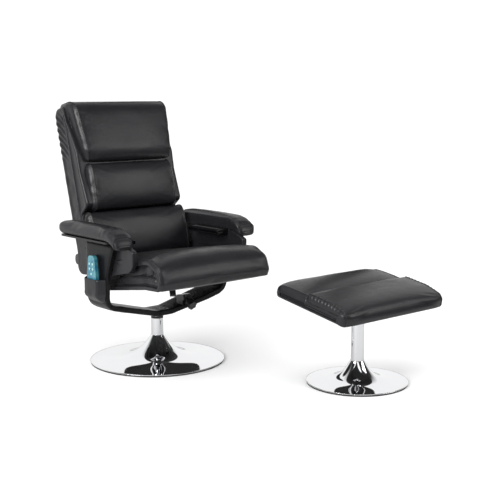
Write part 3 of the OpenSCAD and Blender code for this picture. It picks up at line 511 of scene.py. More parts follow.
# Seams: welts are thin tubes along a path, stitches are short threads beside it. Both come
# from a mesh of loose edges in metres, one mesh for each body.

seam = {"weltRadius": 1.5, "weltStep": 4.0, "threadPitch": 5.0, "threadLength": 3.4, "threadRadius": 0.42,
        "threadLift": 0.15}


def startGeometry(name, numbers):
    group = bpy.data.node_groups.new(name, "GeometryNodeTree")
    group.interface.new_socket("Geometry", in_out="INPUT", socket_type="NodeSocketGeometry")
    for label, value in numbers.items():
        group.interface.new_socket(label, in_out="INPUT", socket_type="NodeSocketFloat").default_value = value
    group.interface.new_socket("Finish", in_out="INPUT", socket_type="NodeSocketMaterial")
    group.interface.new_socket("Geometry", in_out="OUTPUT", socket_type="NodeSocketGeometry")
    tree = Tree(group)
    return group, tree, tree.node("NodeGroupInput")


def endGeometry(tree, geometry, finish):
    real = tree.node("GeometryNodeRealizeInstances", {}, {"Geometry": geometry})["Geometry"]
    smooth = tree.node("GeometryNodeSetShadeSmooth", {}, {"Geometry": real})["Geometry"]
    painted = tree.node("GeometryNodeSetMaterial", {}, {"Geometry": smooth, "Material": finish})["Geometry"]
    tree.node("NodeGroupOutput", {}, {"Geometry": painted})


def makeWeltTree():
    group, tree, given = startGeometry("Welt", {"Radius": 0.0015, "Step": 0.004})
    path = tree.node("GeometryNodeMeshToCurve", {}, {"Mesh": given["Geometry"]})["Curve"]
    even = tree.node("GeometryNodeResampleCurve", {"mode": "LENGTH"},
                     {"Curve": path, "Length": given["Step"]})["Curve"]
    ring = tree.node("GeometryNodeCurvePrimitiveCircle", {"mode": "RADIUS"},
                     {"Resolution": 8, "Radius": given["Radius"]})["Curve"]
    tube = tree.node("GeometryNodeCurveToMesh", {},
                     {"Curve": even, "Profile Curve": ring, "Fill Caps": True})["Mesh"]
    endGeometry(tree, tube, given["Finish"])
    return group


def makeStitchTree():
    group, tree, given = startGeometry("Stitches", {"Pitch": 0.005, "Length": 0.0034, "Radius": 0.0004})
    path = tree.node("GeometryNodeMeshToCurve", {}, {"Mesh": given["Geometry"]})["Curve"]
    spots = tree.node("GeometryNodeCurveToPoints", {"mode": "LENGTH"},
                      {"Curve": path, "Length": given["Pitch"]})
    bead = tree.node("GeometryNodeMeshUVSphere", {}, {"Segments": 6, "Rings": 4, "Radius": 0.5})["Mesh"]
    size = tree.node("ShaderNodeCombineXYZ", {},
                     {0: given["Radius"] * 2, 1: given["Radius"] * 2, 2: given["Length"]})["Vector"]
    placed = tree.node("GeometryNodeInstanceOnPoints", {},
                       {"Points": spots["Points"], "Instance": bead, "Rotation": spots["Rotation"],
                        "Scale": size})["Instances"]
    endGeometry(tree, placed, given["Finish"])
    return group


weltTree = makeWeltTree()
stitchTree = makeStitchTree()
weltPaths, stitchPaths = {}, {}


def alongPaths(name, paths, group, inputs, body):
    points, edges = [], []
    for path in paths:
        base = len(points)
        points += [tuple(p) for p in path]
        edges += [(base + i, base + i + 1) for i in range(len(path) - 1)]
    mesh = bpy.data.meshes.new(name)
    mesh.from_pydata(points, edges, [])
    obj = bpy.data.objects.new(name, mesh)
    bpy.context.scene.collection.objects.link(obj)
    modifier = obj.modifiers.new("path", "NODES")
    modifier.node_group = group
    ids = {item.name: item.identifier for item in group.interface.items_tree if item.in_out == "INPUT"}
    for key, value in inputs.items():
        modifier[ids[key]] = value
    plain = evaluated(obj)
    obj.modifiers.clear()
    obj.data = plain
    bpy.data.meshes.remove(mesh)
    return ride(obj, body)


# Path over chosen vertices of a finished piece, lifted off its surface. Stitches run beside it.
def addSeam(obj, chosen, body, welt=True, lift=0.0, stitches=(2.6,)):
    co, normal = coords(obj), normalsOf(obj)
    base = co[chosen] + normal[chosen] * lift * mm
    if welt:
        weltPaths.setdefault(body, []).append(base)
    tangent = np.gradient(base, axis=0)
    tangent /= np.maximum(np.linalg.norm(tangent, axis=1), 1e-9)[:, None]
    side = np.cross(tangent, normal[chosen])
    for off in stitches:
        thread = co[chosen] + side * off * mm + normal[chosen] * seam["threadLift"] * mm
        stitchPaths.setdefault(body, []).append(thread)


# Seams over one stretch of a cushion's two end rings, with their stitches on mirrored sides
def sewEnds(obj, grid, rings, run, body, lift, beside):
    for ring in rings:
        addSeam(obj, grid[ring][run], body, lift=lift, stitches=(beside if ring < 0 else -beside,))


# Padded piece's mesh with its leather, and its coordinates: the table and its three columns
def addCover(name, points, faces, paint=blackLeather):
    obj = makePiece(name, points, faces, paint, merge=False)
    co = coords(obj)
    return obj, co, co.T


# Nearest vertex of a piece to each point of a path given in its own frame
def nearestTo(obj, matrix, path):
    co = coords(obj)
    world = np.array([(matrix @ Vector(p))[:] for p in np.asarray(path) * mm])
    chosen = [int(np.argmin(((co - p) ** 2).sum(1))) for p in world]
    return [c for i, c in enumerate(chosen) if i == 0 or c != chosen[i - 1]]


disc = {"rim": 8, "sheet": 2, "flare": 4.8, "slope": 0.055, "post": 25, "gap": 0.1, "turns": 256, "steps": 60,
        "bunch": 1.8, "chair": {"at": (0, 0), "radius": 280, "neck": 108},
        "stool": {"at": (384, -782), "radius": 198, "neck": 88}}


# One profile turned about the post: the outer face, the lip, and the sheet's inner face
def addDisc(name, cadNode, at, radius, neck):
    d = Sizes(**disc)
    inner = d.post + d.gap
    start = inner + d.sheet
    rise = neck - d.rim - d.slope * (radius - start)
    top = []
    for i in range(d.steps + 1):
        r = start + (radius - start) * (i / d.steps) ** d.bunch
        trumpet = rise * ((radius - r) / (radius - start)) ** d.flare
        top.append((r, d.rim + d.slope * (radius - r) + trumpet))
    top[0] = (start - 0.3, neck - 0.2)
    lip = [(radius - inward, d.rim - down) for inward, down in ((0.1, 0.3), (0, 1), (0.2, 1.8), (1, 2))]
    under = [(max(inner, r - 0.3), z - d.sheet) for r, z in reversed(top[1:-2])]
    profile = [(inner, neck)] + top + lip + under + [(inner, neck - 3)]
    turns, m = d.turns, len(profile)
    angles = [2 * math.pi * k / turns for k in range(turns)]
    points = [(at[0] + r * math.cos(a), at[1] + r * math.sin(a), z) for a in angles for r, z in profile]
    faces = [(k * m + i, (k + 1) % turns * m + i, (k + 1) % turns * m + (i + 1) % m, k * m + (i + 1) % m)
             for k in range(turns) for i in range(m)]
    return ride(makePiece(name, np.array(points) * mm, faces, chrome), "base", [cadNode])


addDisc("chairDiscShell", "chair_disc", **disc["chair"])
addDisc("stoolDiscShell", "stool_disc", **disc["stool"])
print("discs made")


# In millimetres. puff is the most that the padding swells.
seat = {"half": 260, "rear": 75, "front": 417, "height": 121, "crown": 9, "edge": 13, "under": 0.25,
        "lip": 10, "splay": 9, "splayFrom": 262, "splayOver": 70, "band": 14, "boxing": 10, "pleats": 6,
        "pleatDepth": 5.0, "pleatPitch": 15, "sag": 3, "puff": 7, "fill": 0.75, "around": 230, "across": 50,
        "ends": 6, "boxingRings": 6}
bandDepths = np.array([2, 5, 8, 11, 13, 15, 17, 20, 24, 29, 35, 43, 52])


# How far the side boxing lies behind the sewn band that runs round it
def boxed(band, boxing, groove=7.0):
    d = bandDepths
    step = np.clip((d - band) / 4, 0, 1)
    crown = 1.5 * np.exp(-((d - band / 2) / 6) ** 2)
    return boxing * step + groove * np.exp(-((d - band - 3) / 2.2) ** 2) - crown


def addSeat():
    s = Sizes(**seat)
    f, t, n = -s.front, s.height, s.around
    outline = rounded([(s.rear, 0), (s.rear, t), (f + 66, t + 1), (f + 10, t - 42), (f - 3, 17),
                       (f + 14, -s.lip), (f + 110, 0)], [8, 22, 52, 44, 16, 8, 20])
    points, faces, grid, mid = loftCushion(outline, s.half, s.edge, n, s.across, s.ends, s.crown,
                                           under=s.under, depths=bandDepths, sunk=boxed(s.band, s.boxing))
    obj, co, (x, y, z) = addCover("seatCushion", points, faces)
    co[:, 0] += np.sign(x) * s.splay * ramp(-y, s.splayFrom, s.splayOver) * abs(x) / s.half
    setCoords(obj, co)
    boxing, seams = np.zeros(len(co)), np.zeros(len(co))
    for rows, rings in ((boxing, s.boxingRings), (seams, len(bandDepths))):
        rows[:n * rings] = rows[len(co) - 2 - n * rings:] = 1
    lean = y + 0.8 * (z - 40) + 4 * wander(co, 60, 3)
    start = f + 26
    pleats = bump01(lean, start, start + s.pleats * s.pleatPitch, 20) * bump01(z, 18, 96, 24) * boxing
    ripple = np.cos((lean - start) / s.pleatPitch * 2 * math.pi)
    sag = s.sag * wander(co, 210, 9) * bump01(z, t - 30, t + 40, 20) * bump01(-abs(x), 20 - s.half, 0.5, 60)
    swellBy(obj, pleats * ripple * s.pleatDepth + sag + 0.5 * wander(co, 55, 5))
    place(obj, seatFrame)
    low = np.clip((60 - z) / 40, 0, 1) * np.clip((y - f - 60) / 60, 0, 1)
    for ring in (0, 1, -2, -1):
        seams[grid[ring]] = 1.0
    inflate(obj, np.maximum(low, seams), s.puff * mm)
    subdivide(obj)
    upper = [i for i in range(n) if mid[i][1] < s.rear - 6 and mid[i][2] > 10]
    for ring, side in ((0, 2.8), (s.ends - 1, -2.8), (-1, -2.8), (-s.ends, 2.8)):
        addSeam(obj, grid[ring][upper], "seat", welt=ring in (0, -1), lift=0.2, stitches=(side,))
    return ride(obj, "seat", ["seat_cushion"])


addSeat()
print("seat made")


# The shell in millimetres, with its three cushions
back = {"half": 234, "topHalf": 248, "rear": 47, "front": 20.3, "drop": 60, "height": 654, "top": 632,
        "wingHead": 78, "wingMiddle": 98, "wingLumbar": 62, "waist": 20, "brow": 38, "over": 22, "edge": 11,
        "settle": 6, "inner": 215.7, "pleatDepth": 3.0, "pleatPitch": 30, "mesh": (240, 30, 6),
        "shellFill": 0.7, "fill": 0.8,
        "lumbar": {"foot": -20, "height": 202, "depth": 92, "half": 249.3},
        "middle": {"foot": 185, "height": 198, "depth": 92, "half": 215.7},
        "head": {"foot": 386, "depth": 94, "taper": 16, "topHalf": 242, "puff": 5, "around": 220}}
pillow = {"edge": 24, "crown": 7, "headCrown": 9, "square": 3.7, "around": 170, "puff": 7, "welts": (6, -7),
          "sewn": 0.9, "stitch": -3.0}


def addShell():
    b = Sizes(**back)
    head, middle, lumbar = b.head["foot"], b.middle["foot"], b.lumbar["foot"]
    outline = rounded([
        (b.rear, -b.drop), (b.rear, b.top), (-b.front - 8, b.top), (-b.brow, head + 180),
        (-b.wingHead, head + 40), (b.waist - b.wingMiddle, middle + b.middle["height"] * 0.8),
        (-b.wingMiddle, middle + 22), (b.waist - b.wingLumbar, middle - 4),
        (-b.wingLumbar, lumbar + 20), (-b.front, -b.drop)],
        [14, 34, 10, 60, 20, 40, 20, 16, 20, 20])
    flare = (b.topHalf / b.half - 1) / b.height
    points, faces, *_ = loftCushion(outline, b.half, b.edge, *b.mesh, flare=flare,
                                    depths=(4, *range(9, 64, 6)), sunk=[0, 1, 2] + [2.4] * 8)
    obj, co, (x, y, z) = addCover("backShell", points, faces)
    side = ramp(abs(x), b.half - 8, 8)
    lean = z - 1.1 * (y - 10) + 6 * wander(co, 50, 8)
    pleats = bump01(z, 400, 625, 60) * bump01(y, -26, 52, 16) * side
    ripple = np.cos(lean / b.pleatPitch * 2 * math.pi)
    small = bump01(z, 60, 400, 60) * bump01(y, -26, 52, 16) * side
    ridge = np.exp(-((y + 30) / 7) ** 2) * side * bump01(z, -50, 620, 20)
    rear = bump01(y, 38, 60, 8) * bump01(abs(x), -1, 205, 50) * bump01(z, -20, 600, 60)
    swellBy(obj, pleats * ripple * b.pleatDepth + small * wander(co, 34, 2) * 2.4 + ridge * 2.6
            + rear * (1 - (z - 286) ** 2 / 346 ** 2) * 2.0 + 0.7 * wander(co, 40, 6))
    place(obj, backFrame)
    subdivide(obj)
    for sign in (-1, 1):
        for beside, y, top, foot, lift, stitches in ((6, -30, 600, -30, 0.5, (3.2,)),
                                                     (-10, b.rear, 606, -46, 0.3, (3.0, -3.0))):
            line = [(sign * (b.half * (1 + flare * q) + beside), y, q) for q in np.linspace(top, foot, 64)]
            addSeam(obj, nearestTo(obj, backFrame, line), "back", lift=lift, stitches=stitches)
    return ride(obj, "back", ["back_shell"])


def pillowOutline(foot, height, depth):
    p = plump(pillow["around"], pillow["square"])
    y0 = -back["front"] - depth
    return np.stack([y0 + depth / 2 + p[:, 0] * depth / 2, foot + height / 2 + p[:, 1] * height / 2], axis=1)


# Puckers along the ends of a cushion, and creases that run in from its edges
def pucker(obj, half, foot, height, seed, depth=1.1):
    co = coords(obj)
    x, y, z = co.T
    ends, top = bump01(abs(x), half - 46, half + 30, 34), foot + height
    edges = np.maximum(bump01(z, foot - 30, foot + 34, 26), bump01(z, top - 34, top + 30, 26))
    front = ramp(-y, 45, 30)
    ripple = np.sin(z / 9.5 + 3.0 * wander(co, 60, seed)) * ends
    across = np.sin(x / 11 + 4.0 * wander(co, 70, seed + 5)) * edges
    crease = -creases(co, 52, seed + 9, 9, (0.45, 1, 1.6)) * bump01(abs(x), half * 0.35, half + 60, 60)
    swellBy(obj, front * (ripple * depth * 0.55 + across * depth * 0.18 + crease * 0.35)
            + 0.8 * front * wander(co, 80, seed + 2))


# Blows up a cushion of the back, sewn down behind the plane that lies holdAt in front of the shell
def plumpUp(obj, grid, holdAt, puff):
    hold = np.clip((coords(obj)[:, 1] + back["front"] + holdAt) / 20, 0, 1)
    place(obj, backFrame)
    for ring in pillow["welts"]:
        hold[grid[ring]] = np.maximum(hold[grid[ring]], pillow["sewn"])
    inflate(obj, hold, puff * mm)
    subdivide(obj)


def addPillow(name, cad, spec, seed, limit=None, extra=()):
    b, s, p = Sizes(**back), Sizes(**spec), Sizes(**pillow)
    points, faces, grid, mid = loftCushion(pillowOutline(s.foot, s.height, s.depth), s.half, p.edge, p.around,
                                           crownFront=p.crown, limit=limit, extra=extra)
    obj = addCover(name, points, faces)[0]
    pucker(obj, s.half, s.foot, s.height, seed)
    plumpUp(obj, grid, 45, p.puff)
    front = [i for i in range(p.around) if mid[i][1] < -b.front - 34]
    front.sort(key=lambda i: math.atan2(mid[i][2] - s.foot - s.height / 2, -mid[i][1] - 60))
    sewEnds(obj, grid, p.welts, front, "back", 0.2, p.stitch)
    return ride(obj, "back", [cad])


# The lumbar cushion's ends pass in front of the wings, and the head cushion's follow them
def lumbarLimit(x, y, z):
    return np.minimum(y, -back["wingLumbar"] - 0.8) if abs(x) > back["inner"] + 0.1 else y


def wingLine(z):
    b = Sizes(**back)
    head = b.head["foot"]
    return -np.interp(z, [head - 1, head + 40, head + 180, b.top],
                      [b.wingHead + 8, b.wingHead + 2, b.brow + 3, b.front + 10])


def headLimit(x, y, z):
    if abs(x) <= back["inner"]:
        return y
    return np.where(z < back["top"] + 0.2, np.minimum(y, wingLine(z)), y)


def addHead():
    b, h, p = Sizes(**back), Sizes(**back["head"]), Sizes(**pillow)
    rear, front, foot, top = -b.front, -b.front - h.depth, h.foot, b.height - b.settle
    outline = rounded([(rear, foot), (rear, b.top + 0.4), (b.over, b.top + 0.4), (b.over, top),
                       (front + h.taper, top), (front, foot + 50), (front + 12, foot)],
                      [10, 2, 6, 12, 56, 70, 20])
    flare = (h.topHalf / b.inner - 1) / (b.height - foot)
    points, faces, grid, mid = loftCushion(outline, b.inner, p.edge, h.around, crownFront=p.headCrown,
                                           flare=flare, foot=foot, limit=headLimit, extra=(b.inner - 12,))
    obj = addCover("headCushion", points, faces)[0]
    pucker(obj, b.inner, foot, b.height - foot, 21, 1.4)
    plumpUp(obj, grid, 38, h.puff)
    start = int(np.argmin(np.hypot(mid[:, 1] - b.over, mid[:, 2] - b.height + 8)))
    end = int(np.argmin(np.hypot(mid[:, 1] - front - 14, mid[:, 2] - foot)))
    run = list(range(start, end)) if end > start else [*range(start, h.around), *range(end)]
    sewEnds(obj, grid, p.welts, run, "back", 0.3, p.stitch)
    return ride(obj, "back", ["head_cushion"])


addShell()
addPillow("lumbarCushion", "lumbar_cushion", back["lumbar"], 4, lumbarLimit,
          (back["inner"], back["inner"] + 0.3))
addPillow("middleCushion", "middle_cushion", back["middle"], 13)
addHead()
print("back made")


cradle = {"half": 310, "thick": 25, "rise": 14.5, "bend": 60, "level": 40, "top": 341, "rear": 47,
          "front": [(-1, 58), (18, 62), (55, 86), (142, 92), (218, 103), (329, 150), (342, 150)],
          "crease": 1.4, "square": 7, "along": 261, "around": 80, "fill": 0.3}


# Middle line of the U-shaped strip, as [x, z] points from one top end to the other
def cradleLine():
    c = Sizes(**cradle)
    rise, mid = math.radians(c.rise), c.thick / 2
    cx = c.half - c.bend
    cz = (cx - c.level) * math.tan(rise) + c.bend / math.cos(rise)
    half = [(0, mid), (c.level - mid * math.tan(rise / 2), mid)]
    for i in range(17):
        a = -math.pi / 2 + rise + (math.pi / 2 - rise) * i / 16
        half.append((cx + (c.bend - mid) * math.cos(a), cz + (c.bend - mid) * math.sin(a)))
    half.append((c.half - mid, c.top))
    return resample(np.array([(-x, z) for x, z in half[::-1]] + half[1:]), c.along, closed=False)


def addCradleCover():
    c = Sizes(**cradle)
    line = cradleLine()
    line = np.vstack([line[:1], smoothed(line, 6)[1:-1], line[-1:]])
    tangent = np.gradient(line, axis=0)
    tangent /= np.linalg.norm(tangent, axis=1)[:, None]
    normal = np.stack([tangent[:, 1], -tangent[:, 0]], axis=1)
    zs, ys = zip(*c.front)
    section = plump(c.around, c.square)
    rings, caps = [], (3, 7)
    for (x, z), n in zip(line, normal):
        front = -np.interp(z, zs, ys)
        middle, wide = (c.rear + front) / 2, (c.rear - front) / 2
        off = section[:, 1] * c.thick / 2
        rings.append(np.stack([x + n[0] * off, middle + section[:, 0] * wide, z + n[1] * off], axis=1))
    points, faces = loftRings(rings, caps)
    # The strip wears the darker copy of the leather, whose darker colour is painted shade
    obj, co, (x, y, z) = addCover("cradleCover", points, faces, shadedBandLeather)
    bend = bump01(z, 20, 190, 50) * ramp(abs(x), 225, 30)
    crease = creases(co, 34, 6, 8, (1, 0.5, 1.4))
    swellBy(obj, bend * -crease * c.crease + 0.5 * wander(co, 40, 12))
    place(obj, cradleFrame)
    subdivide(obj)
    for beside in (38, 42):
        path = [(len(caps) + j) * c.around + beside for j in range(6, c.along - 6)]
        addSeam(obj, path, "swivel", welt=False, stitches=(0.0,))
    return ride(obj, "swivel", ["cradle_cover"])


addCradleCover()
print("cradle made")


arm = {"inner": 262.3, "outer": 285, "front": 245, "rear": 150, "top": 341, "dip": 196, "sag": 18, "edge": 5,
       "around": 220, "fill": 0.5,
       "pad": {"width": 90, "height": 56, "front": 228, "rear": 198, "droop": 41, "bend": 95, "foot": 348,
               "skirt": 6.5, "rearEdge": 34, "frontEdge": 30, "puff": 7, "slack": 2, "around": 110,
               "fill": 0.7}}
panelDepths = (4, 9, 15, 22, 30, 40, 52, 66)
padDepths = (4, 9, 15, 22)


def addArmPanel(side, word):
    a = Sizes(**arm)
    outline = rounded([(a.rear, a.top), (-178, a.top + 1), (-205, a.top - 8), (-238, a.top - 24),
                       (-a.front, a.top - 29), (-a.front, a.dip + 42), (-61, a.dip), (a.rear, a.dip - a.sag)],
                      [2, 10, 10, 5, 3, 52, 60, 36])
    outline = resample(outline, a.around)
    half = (a.outer - a.inner) / 2
    inward = outline.mean(0) - outline
    inward /= np.linalg.norm(inward, axis=1)[:, None]
    rings = []
    for x in stations(half, a.edge, 6, 2):
        p = outline + inward * endInset(x, half, a.edge)
        rings.append(np.stack([np.full(len(p), (a.inner + half + x) * side), p[:, 0], p[:, 1]], axis=1))
    points, faces = loftRings(rings, panelDepths)
    obj, co, _ = addCover("armPanel" + word.capitalize(), points, faces)
    swellBy(obj, 1.1 * wander(co, 55, 31 + side) - 0.8 * creases(co, 70, 41 + side, 8))
    place(obj, cradleFrame)
    subdivide(obj)
    ring = (len(panelDepths) + 4) * a.around
    low = [i for i in range(ring, ring + a.around) if points[i][2] < a.top - 36]
    low.sort(key=lambda i: math.atan2(points[i][2] - a.top, points[i][1] + 40))
    addSeam(obj, low, "swivel", welt=False, stitches=(0.0,))
    return ride(obj, "swivel", ["arm_panel_" + word])


# Pad's stations from the rear end to the front end, close together where it rounds off or bends
def padPlaces(p, bend):
    places = [p.rear - p.rearEdge * (1 - math.cos(math.radians(10 * i))) for i in range(9)]
    places += list(np.linspace(p.rear - p.rearEdge, bend, 44)[:-1])
    places += list(np.linspace(bend, p.frontEdge - p.front, 12)[:-1])
    return places + [p.frontEdge - p.front - p.frontEdge * math.sin(math.radians(10 * i)) for i in range(10)]


def addArmPad(side, word):
    p, inner = Sizes(**arm["pad"]), arm["inner"]
    section, tight = plump(p.around, 3.2), plump(p.around, 12)
    bend = p.bend - p.front
    places = padPlaces(p, bend)
    rings = []
    for y in places:
        inset = endInset(max(0, y), p.rear, p.rearEdge) + endInset(min(0, y), p.front, p.frontEdge)
        bent = min(max((bend - y) / p.bend, 0), 1)
        w, h = p.width / 2 - 0.6 * inset, p.height / 2 - 0.75 * inset
        z = p.foot + p.height / 2 - p.droop * bent * bent
        inside = (section[:, 0] < 0) & (section[:, 1] < 0)
        even = (1 - bent) * ramp(-y, 20 - p.rear, 30)
        shape = section + (tight - section) * (inside * even)[:, None]
        down = p.skirt * even * inside * np.clip((-shape[:, 0] - 0.78) / 0.06, 0, 1)
        rings.append(np.stack([side * (inner + p.width / 2 + shape[:, 0] * w), np.full(len(section), y),
                               z + shape[:, 1] * h - down], axis=1))
    points, faces = loftRings(rings, padDepths, (-1, -2, -2.6, -3))
    obj, co, (x, y, z) = addCover("armPad" + word.capitalize(), points, faces)
    turn = bump01(-y, -bend - 30, p.front - 12, 24)
    top = ramp(z, p.foot + 8, 26)
    folds = np.sin(y / 5.2 + 0.05 * (x * side) + 3 * wander(co, 50, 17)) * turn * top
    long = -creases(co, 40, 23 + side, 9, (1.5, 0.35, 1)) * top
    swellBy(obj, folds * 0.5 + long * 0.3 + wander(co, 60, 14) * 1.2 * top)
    place(obj, cradleFrame)
    hold = np.clip((p.foot + 9 - z) / 8, 0, 1) * (y > bend)
    hold = np.maximum(hold, np.clip((inner + 8 - abs(x)) / 6, 0, 1))
    lastRing = len(padDepths) + len(places) - 7
    cap = list(range(lastRing * p.around, (lastRing + 1) * p.around))
    hold[cap] = 1.0
    inflate(obj, hold, p.puff * mm, p.slack * mm)
    subdivide(obj)
    addSeam(obj, cap + cap[:1], "swivel", lift=0.2, stitches=(2.8,))
    for i in (22, 33):
        path = [(len(padDepths) + j) * p.around + i for j in range(4, len(places) - 7)]
        addSeam(obj, path, "swivel", welt=False, stitches=(0.0,))
    return ride(obj, "swivel", ["arm_pad_" + word])


for side, word in ((1, "left"), (-1, "right")):
    addArmPanel(side, word)
    addArmPad(side, word)
print("arms made")


pocket = {"wall": 310, "span": (-95, 44), "belly": (-74, 12), "room": 26, "skin": 3, "foot": 134.7,
          "height": 56.3, "middle": -25, "tail": 40, "tailRings": 12, "bend": 75,
          "bendHeight": 127.9, "gap": 0.4, "around": 90}


# Open-topped bag on the strip's outer face: a tail that runs out downwards, the wall, its rim, its inside
def addPocket():
    k = Sizes(**pocket)
    n, belly = k.around, k.wall + 2 + k.room
    sides = []
    for out, short, shy, radius in ((k.skin, 0, 0, 14), (0, 6, 2, 12)):
        walk = rounded([(-k.wall, k.span[0] + short), (-k.wall, k.span[1] - short),
                        (-belly - out, k.belly[1] - shy), (-belly - out, k.belly[0] + shy)],
                       [0, 0, radius, radius])
        sides.append(resample(np.roll(walk, -1, 0), n, closed=False))
    outer, inner = sides
    foot, rim = k.foot, k.foot + k.height
    rings = []
    for i in range(k.tailRings):
        t = i / (k.tailRings - 1)
        z = foot - k.tail * (1 - t)
        wall = k.wall - k.bend + math.sqrt(k.bend ** 2 - max(0, k.bendHeight - z) ** 2)
        full = math.sin(t * math.pi / 2) ** 0.8
        rings.append(np.column_stack([-wall - k.gap + (outer[:, 0] + k.wall) * full,
                                      k.middle + (outer[:, 1] - k.middle) * (0.62 + 0.38 * full),
                                      np.full(n, z)]))
    for edge, z in ((outer, foot + 10), (outer, foot + 24), (outer, foot + 38), (outer, rim - 8),
                    (outer, rim - 1.5), ((outer + inner) / 2, rim + 0.6), (inner, rim - 1.5),
                    (inner, rim - 20), (inner, foot + k.skin)):
        rings.append(np.column_stack([edge, np.full(n, z)]))
    points, last = np.vstack(rings), (len(rings) - 1) * n
    faces = [(j * n + i, j * n + i + 1, (j + 1) * n + i + 1, (j + 1) * n + i)
             for j in range(len(rings) - 1) for i in range(n - 1)]
    faces += [tuple(range(last, last + n)), tuple(range(n))]
    faces += [tuple(j * n + i for j in range(len(rings))) for i in (0, n - 1)]
    obj, co, (x, y, z) = addCover("handsetPocket", points, faces)
    swellBy(obj, ramp(-x, k.wall + 4, 10) * (1.6 * wander(co, 26, 3) * bump01(z, 60, rim - 8, 20)))
    place(obj, cradleFrame)
    for level in (rim - 1.5, rim - 8):
        path = [i for i in range((k.tailRings + 5) * n) if abs(points[i][2] - level) < 0.1]
        addSeam(obj, path, "swivel", welt=False, stitches=(-1.5,))
    return ride(obj, "swivel", ["remote_pocket"])


addPocket()
print("pocket made")


stool = {"half": 278, "depth": 392, "height": 54, "edge": 24, "padEdge": 15, "under": 0.3, "valley": 12,
         "step": 9, "pad": 21, "padDepth": 200, "lip": 18, "gathers": 12, "gatherDepth": 1.3, "crown": 13,
         "padCrown": 4, "puff": 8, "padPuff": 6, "padSlack": 2, "fill": 0.7, "mesh": (180, 56, 6),
         "padMesh": (200, 70, 6), "welts": (5, -6), "stitch": 2.8, "band": 5, "boxing": 3}


def addStoolCushion():
    s = Sizes(**stool)
    front, rear = -s.depth / 2 + s.lip, s.depth / 2
    outline = rounded([(rear, 0), (rear, s.height - 3), (s.valley + 4, s.height),
                       (s.valley, s.height - s.step), (front, s.height - s.step), (front, 0)],
                      [10, 30, 6, 2, 4, 4])
    points, faces, grid, mid = loftCushion(outline, s.half, s.edge, *s.mesh, under=s.under,
                                           depths=bandDepths[:8], sunk=boxed(s.band, s.boxing)[:8])
    obj, co, (x, y, z) = addCover("stoolCushion", points, faces)
    behind = ramp(y, s.valley + 6, 50) * ramp(z, s.height - 24, 14)
    crown = behind * s.crown * np.clip(1 - (x / s.half) ** 4, 0, 1) * np.clip(1 - ((y - 105) / 95) ** 2, 0, 1)
    crease = creases(co, 60, 33, 9, (0.5, 1, 1)) * behind
    corner = np.clip((abs(x) - s.half + 75) / 75, 0, 1) ** 2
    corner = corner * np.clip((y - s.valley) / (rear - s.valley), 0, 1)
    co[:, 1] -= corner * 24
    co[:, 2] -= corner * 7 * ramp(z, 10, 40)
    setCoords(obj, co)
    swellBy(obj, crown - crease * 0.4 + 1.0 * wander(co, 80, 27) * behind)
    place(obj, stoolFrame)
    hold = np.maximum(np.clip((20 - z) / 12, 0, 1), (y < s.valley + 6) * 1.0)
    for ring in s.welts:
        hold[grid[ring]] = 1.0
    inflate(obj, hold, s.puff * mm)
    subdivide(obj)
    top = [i for i, (_, q, r) in enumerate(mid) if r > s.height - 8 and q > s.valley + 4]
    down = [i for i, (_, q, r) in enumerate(mid) if q > rear - 8 and 4 < r < s.height - 8]
    run = sorted(top + down, key=lambda i: mid[i][2] - mid[i][1] * 0.5)
    sewEnds(obj, grid, s.welts, run, "stool_top", 0.3, s.stitch)
    rearEdge = int(np.argmin(np.hypot(mid[:, 1] - rear + 5, mid[:, 2] - s.height + 7)))
    addSeam(obj, grid[5:-5, rearEdge], "stool_top", lift=0.3)
    return ride(obj, "stool_top", ["stool_cushion"])


def addStoolPad():
    s = Sizes(**stool)
    foot, face = s.height - s.step, -s.depth / 2
    outline = rounded([(s.valley - 2, foot), (s.valley - 1, foot + s.pad),
                       (s.valley - s.padDepth * 0.6, foot + s.pad), (face, foot + 4), (face, 0),
                       (face + s.lip, 0), (face + s.lip, foot)], [3, 9, 60, 24, 8, 2, 2])
    points, faces, grid, mid = loftCushion(outline, s.half - 1, s.padEdge, *s.padMesh, under=s.under,
                                           depths=(3, 6, 9))
    obj, co, (x, y, z) = addCover("stoolFrontPad", points, faces)
    upper = ramp(z, foot + 2, 12)
    ends = ramp(abs(x), s.half - 26, 22) * upper
    corner = np.clip((abs(x) - s.half + 60) / 60, 0, 1) ** 2
    co[:, 1] += corner * 11 * np.clip((-y - 60) / 130, 0, 1)
    setCoords(obj, co)
    gathers = np.sin((y + 2.5 * wander(co, 30, 3)) / (s.padDepth / s.gathers) * 2 * math.pi) * ends
    crown = upper * s.padCrown * np.clip(1 - (x / s.half) ** 4, 0, 1)
    crease = creases(co, 55, 37, 9, (0.4, 1.4, 1)) * upper
    swellBy(obj, gathers * s.gatherDepth + crown - crease * 0.4 + 0.8 * wander(co, 70, 29) * upper)
    place(obj, stoolFrame)
    hold = np.clip((foot + 5 - z) / 6, 0, 1) * (y > face + 10)
    for ring in s.welts:
        hold[grid[ring]] = 0.9
    inflate(obj, hold, s.padPuff * mm, s.padSlack * mm)
    subdivide(obj)
    run = [i for i, (_, q, r) in enumerate(mid) if (r > foot + 6 or q < face + 2) and r > 6]
    run.sort(key=lambda i: mid[i][1] * 2 + mid[i][2])
    sewEnds(obj, grid, s.welts, run, "stool_top", 0.3, s.stitch)
    valley = int(np.argmin(np.hypot(mid[:, 1] - s.valley + 2, mid[:, 2] - foot - s.pad + 5)))
    addSeam(obj, grid[5:-5, valley], "stool_top", lift=0.3)
    return ride(obj, "stool_top", ["stool_front_pad"])


addStoolCushion()
addStoolPad()
print("footstool made")


